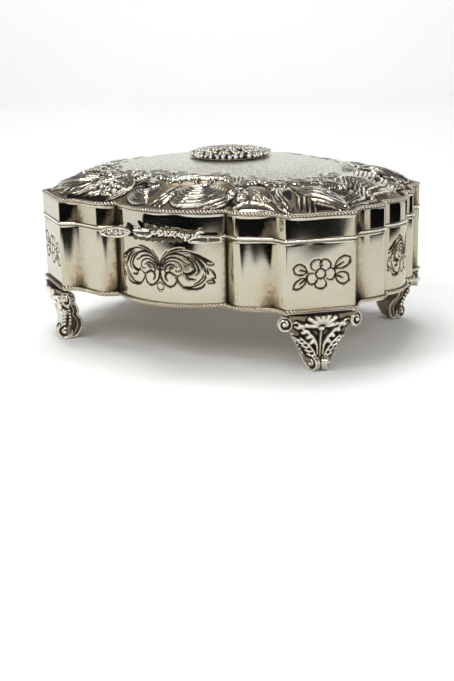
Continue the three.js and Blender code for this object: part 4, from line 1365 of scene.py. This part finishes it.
def medallion_beads():
    parts = Parts()
    reach = np.linspace(0, 21, 10)
    profile = [(0, 95.4)] + [(r, 95.4) for r in (8, 16, 20.6)] + [(21.1, 95.55)] + [
        (r, medallion_height(r)) for r in reach[::-1][1:-1]] + [(0, medallion_height(0))]
    points, faces = turned_points(profile, 72)
    parts.add(points, faces, patina=0.96)
    for k in range(40):
        angle = 2 * math.pi * k / 40 + rng.uniform(-0.04, 0.04)
        size = rng.uniform(0.95, 1.4)
        reach = rng.uniform(20.0, 20.9)
        parts.add(*ball((reach * math.cos(angle), reach * math.sin(angle), 96.2), size, 6, 10))
    for count, ring, radius in ((1, 0, 3.6), (6, 7.6, 3.5), (12, 14.6, 3.5)):
        for k in range(count):
            angle = 2 * math.pi * (k + 0.5 * (count == 12)) / count
            centre = np.array((ring * math.cos(angle), ring * math.sin(angle), 0.0))
            flower(parts, centre, radius, angle + rng.uniform(0, 1))
    for ring, count in ((4.1, 6), (11, 12), (17.9, 24)):
        for k in range(count):
            angle = 2 * math.pi * (k + 0.25) / count + rng.uniform(-0.04, 0.04)
            place = (ring * math.cos(angle), ring * math.sin(angle), medallion_height(ring) + 0.35)
            parts.add(*ball(place, rng.uniform(0.7, 1.0), 6, 10))
    finish_piece(parts.build("medallion_flowers", CAST_SILVER), "lid", "cast_silver", "medallion_beads")


# ---- hinge ----
def along_hinge(section, x_middle, sides=40):
    """A shape turned about the hinge's axis from a closed section of (across, reach) pairs."""
    angle = np.arange(sides) / sides * 2 * np.pi
    points = np.vstack([np.stack([np.full(sides, x_middle + x), HINGE_Y + r * np.cos(angle),
                                  HINGE_Z + r * np.sin(angle)], 1) for x, r in section])
    return points, grid_faces(len(section), sides, wrap_rows=True)


def hinge_knuckle(name, k, body, node):
    half, soft, bore, mouth = KNUCKLE_LENGTH / 2, 0.3, 1.0, 0.15
    outer = KNUCKLE_RADIUS
    section = [(-half, bore + mouth), (-half, outer - soft), (-half + soft * 0.3, outer - soft * 0.3),
               (-half + soft, outer), (0, outer), (half - soft, outer),
               (half - soft * 0.3, outer - soft * 0.3), (half, outer - soft), (half, bore + mouth),
               (half - mouth, bore), (-half + mouth, bore)]
    points, faces = along_hinge(section, (k - 2) * KNUCKLE_PITCH)
    patina = np.repeat([0.6, 0.5, 0.25, 0.05, 0.05, 0.05, 0.25, 0.5, 0.6, 0.6, 0.6], 40)
    piece = mesh_object(name, points, faces, HINGE_SILVER, attributes={"patina": patina})
    finish_piece(facing_out(piece), body, "hinge_silver", node)


def hinge_pin():
    half, radius = 17.55, 0.75
    sides = 24
    section = [(-half, 0.3), (-half + 0.12, 0.62), (-half + 0.4, radius), (0, radius), (half - 0.4, radius),
               (half - 0.12, 0.62), (half, 0.3)]
    points, _ = along_hinge(section, 0, sides)
    faces = flat_ended_grid(len(section), sides)
    marks = {"patina": np.full(len(points), 0.2)}
    piece = mesh_object("hinge_pin_rod", points, faces, PIN_METAL, attributes=marks)
    finish_piece(facing_out(piece), "base", "hinge_pin_metal", "hinge_pin")


def hinge_bearer(name, low, body, node):
    """The flat bar soldered to the back bow, which carries its share of the knuckles."""
    back = bow_points(FRONT_BOW_END[0], FRONT_MIDDLE - FRONT_BOW_END[1], FRONT_MIDDLE, 40)
    soft, face, height = 0.25, 80.5, 4.0
    rings = []
    for x in np.linspace(-BEARER_HALF_LENGTH, BEARER_HALF_LENGTH, 30):
        wall = np.interp(abs(x), back[:, 0], back[:, 1]) + 0.15
        section = [(wall, low), (face - soft, low), (face, low + soft), (face, low + height - soft),
                   (face - soft, low + height), (wall, low + height)]
        rings.append([(x, y, z) for y, z in section])
    points = np.array(rings).reshape(-1, 3)
    faces = flat_ended_grid(len(rings), len(section))
    patina = np.tile([0.8, 0.4, 0.12, 0.12, 0.4, 0.8], len(rings))
    piece = mesh_object(name, points, faces, HINGE_SILVER, attributes={"patina": patina})
    bevelled_shading(piece)
    finish_piece(facing_out(piece), body, "hinge_silver", node)


def bevelled_shading(piece):
    """Keeps flat faces flat beside their rounded edges."""
    piece.data.set_sharp_from_angle(angle=math.radians(50))


# ---- the object ----
base_wall()
base_floor()
rope("base_rope", -0.9, FLOOR_TOP + BASE_ROPE_RADIUS, BASE_ROPE_RADIUS, 3.2, "base", "base_rope_moulding")
inner_bezel()
for name, sign_x, sign_y in (("front_left", -1, -1), ("front_right", 1, -1), ("back_left", -1, 1),
                             ("back_right", 1, 1)):
    foot(f"scroll_foot_{name}", sign_x, sign_y, f"foot_{name}")
lid_wall()
lip_bead()
rope("lid_rope", 0.35, LID_WALL[1] + 0.1 + ROPE_RADIUS, ROPE_RADIUS, 3.4, "lid", "lid_rope_moulding")
lid_dome()
thumb_piece()
medallion_plate()
medallion_beads()
for k, (body, place) in enumerate((("base", "left"), ("lid", "left"), ("base", "middle"), ("lid", "right"),
                                   ("base", "right"))):
    hinge_knuckle(f"knuckle_{body}_{place}", k, body, f"hinge_knuckle_{body}_{place}")
hinge_pin()
hinge_bearer("bearer_base", 58.1, "base", "hinge_bearer_base")
hinge_bearer("bearer_lid", 66.9, "lid", "hinge_bearer_lid")


# ---- floor, lights and camera ----
def plain_material(name, colour, specular):
    material = bpy.data.materials.new(name)
    material.use_nodes = True
    shader = material.node_tree.nodes["Principled BSDF"]
    shader.inputs["Base Color"].default_value = (*colour, 1)
    shader.inputs["Roughness"].default_value = 0.9
    shader.inputs["Specular IOR Level"].default_value = specular
    return material


def studio_floor():
    """A sheet of pale paper that lies flat and sweeps up far behind, wider at the right than at the left."""
    flat_end, bend, top = 1400, 900, 3000
    left, left_behind, right = -1300, -1000, 2700
    profile = [(-1050, 0, left), (flat_end, 0, left)]
    profile += [(flat_end + bend * math.sin(a), bend - bend * math.cos(a), left_behind)
                for a in np.linspace(0.1, math.pi / 2, 12)]
    profile += [(flat_end + bend, top, left_behind)]
    turn = math.radians(27.7)
    points = []
    for reach, z, left_edge in profile:
        for across in (left_edge, right):
            points.append((across * math.cos(turn) - reach * math.sin(turn),
                           across * math.sin(turn) + reach * math.cos(turn), z))
    faces = [(2 * k, 2 * k + 1, 2 * k + 3, 2 * k + 2) for k in range(len(profile) - 1)]
    floor = mesh_object("paper_floor", points, faces, plain_material("paper", (0.85, 0.855, 0.835), 0.2))


def dark_card(name, start, end, inner, outer=1500, z=1.0, bump=0.0):
    """A black sector round the box: only the polished metal sees it, as a photographer's flag."""
    degrees = np.linspace(start, end, 49)
    angle = np.radians(degrees)
    near = inner - bump * np.exp(-((degrees + 86) / 13) ** 2)
    points = [(r * math.cos(a), r * math.sin(a), z) for reach in (near, np.full(49, outer))
              for r, a in zip(reach, angle)]
    faces = grid_faces(2, len(angle), wrap_columns=False)
    card = mesh_object(name, points, faces, plain_material(name, (0.004, 0.004, 0.005), 0))
    card.visible_camera = False
    card.visible_diffuse = False
    card.visible_shadow = False


def area_light(name, place, target, size, power, mirrored=True):
    light = bpy.data.lights.new(name, "AREA")
    light.shape = "RECTANGLE"
    light.size, light.size_y = (side * MM for side in size)
    light.energy = power
    lamp = bpy.data.objects.new(name, light)
    lamp.location = Vector(place) * MM
    lamp.rotation_euler = (Vector(target) - Vector(place)).to_track_quat("-Z", "Y").to_euler()
    lamp.visible_glossy = mirrored
    bpy.context.scene.collection.objects.link(lamp)


def studio_world():
    world = bpy.data.worlds.new("studio")
    world.use_nodes = True
    nodes, links = world.node_tree.nodes, world.node_tree.links
    direction = nodes.new("ShaderNodeTexCoord").outputs["Generated"]
    height = nodes.new("ShaderNodeSeparateXYZ")
    links.new(direction, height.inputs["Vector"])
    ramp = nodes.new("ShaderNodeValToRGB")
    links.new(height.outputs["Z"], ramp.inputs["Fac"])
    ramp.color_ramp.elements[0].position = 0.1
    ramp.color_ramp.elements[0].color = (0.93, 0.96, 1.0, 1)
    ramp.color_ramp.elements[1].position = 0.62
    ramp.color_ramp.elements[1].color = (0.055, 0.055, 0.06, 1)
    links.new(ramp.outputs["Color"], nodes["Background"].inputs["Color"])
    nodes["Background"].inputs["Strength"].default_value = 1.35
    bpy.context.scene.world = world


def photo_camera():
    yaw, pitch, roll = (math.radians(a) for a in (27.707, 16.108, -1.231))
    ahead = Vector((-math.sin(yaw) * math.cos(pitch), math.cos(yaw) * math.cos(pitch), -math.sin(pitch)))
    level = Vector((math.cos(yaw), math.sin(yaw), 0))
    up = level.cross(ahead)
    right = math.cos(roll) * level + math.sin(roll) * up
    top = -math.sin(roll) * level + math.cos(roll) * up
    data = bpy.data.cameras.new("photo_camera")
    data.sensor_width = 36
    data.lens = 65.46
    camera = bpy.data.objects.new("photo_camera", data)
    turn = Matrix((right, top, -ahead)).transposed().to_4x4()
    camera.matrix_world = Matrix.Translation(Vector((303.5, -586.0, 182.6)) * MM) @ turn
    bpy.context.scene.collection.objects.link(camera)
    bpy.context.scene.camera = camera


studio_floor()
dark_card("card_front", -138, -30, 378, bump=90)
dark_card("card_right", -4, 34, 385)
dark_card("card_back", 62, 124, 375)
studio_world()
area_light("key", (-250, 300, 1500), (0, 0, 0), (900, 550), 14, mirrored=False)
area_light("front", (500, -1100, 1200), (0, 0, 50), (1200, 900), 3, mirrored=False)
area_light("glint_left", (-420, -700, 900), (0, 0, 50), (120, 120), 1.6)
area_light("glint_right", (700, -450, 700), (0, 0, 50), (90, 90), 0.9)
area_light("softbox_top", (-130, -230, 1000), (0, 0, 80), (460, 300), 1.9)
area_light("softbox_front", (-120, -1000, 780), (0, 0, 60), (760, 320), 2.9)
area_light("softbox_right", (950, -350, 700), (0, 0, 60), (260, 420), 0.9)
area_light("backdrop", (-500, 950, 1500), (-1050, 2000, 700), (1500, 600), 13.5)
photo_camera()
bpy.context.scene.view_settings.view_transform = "Standard"
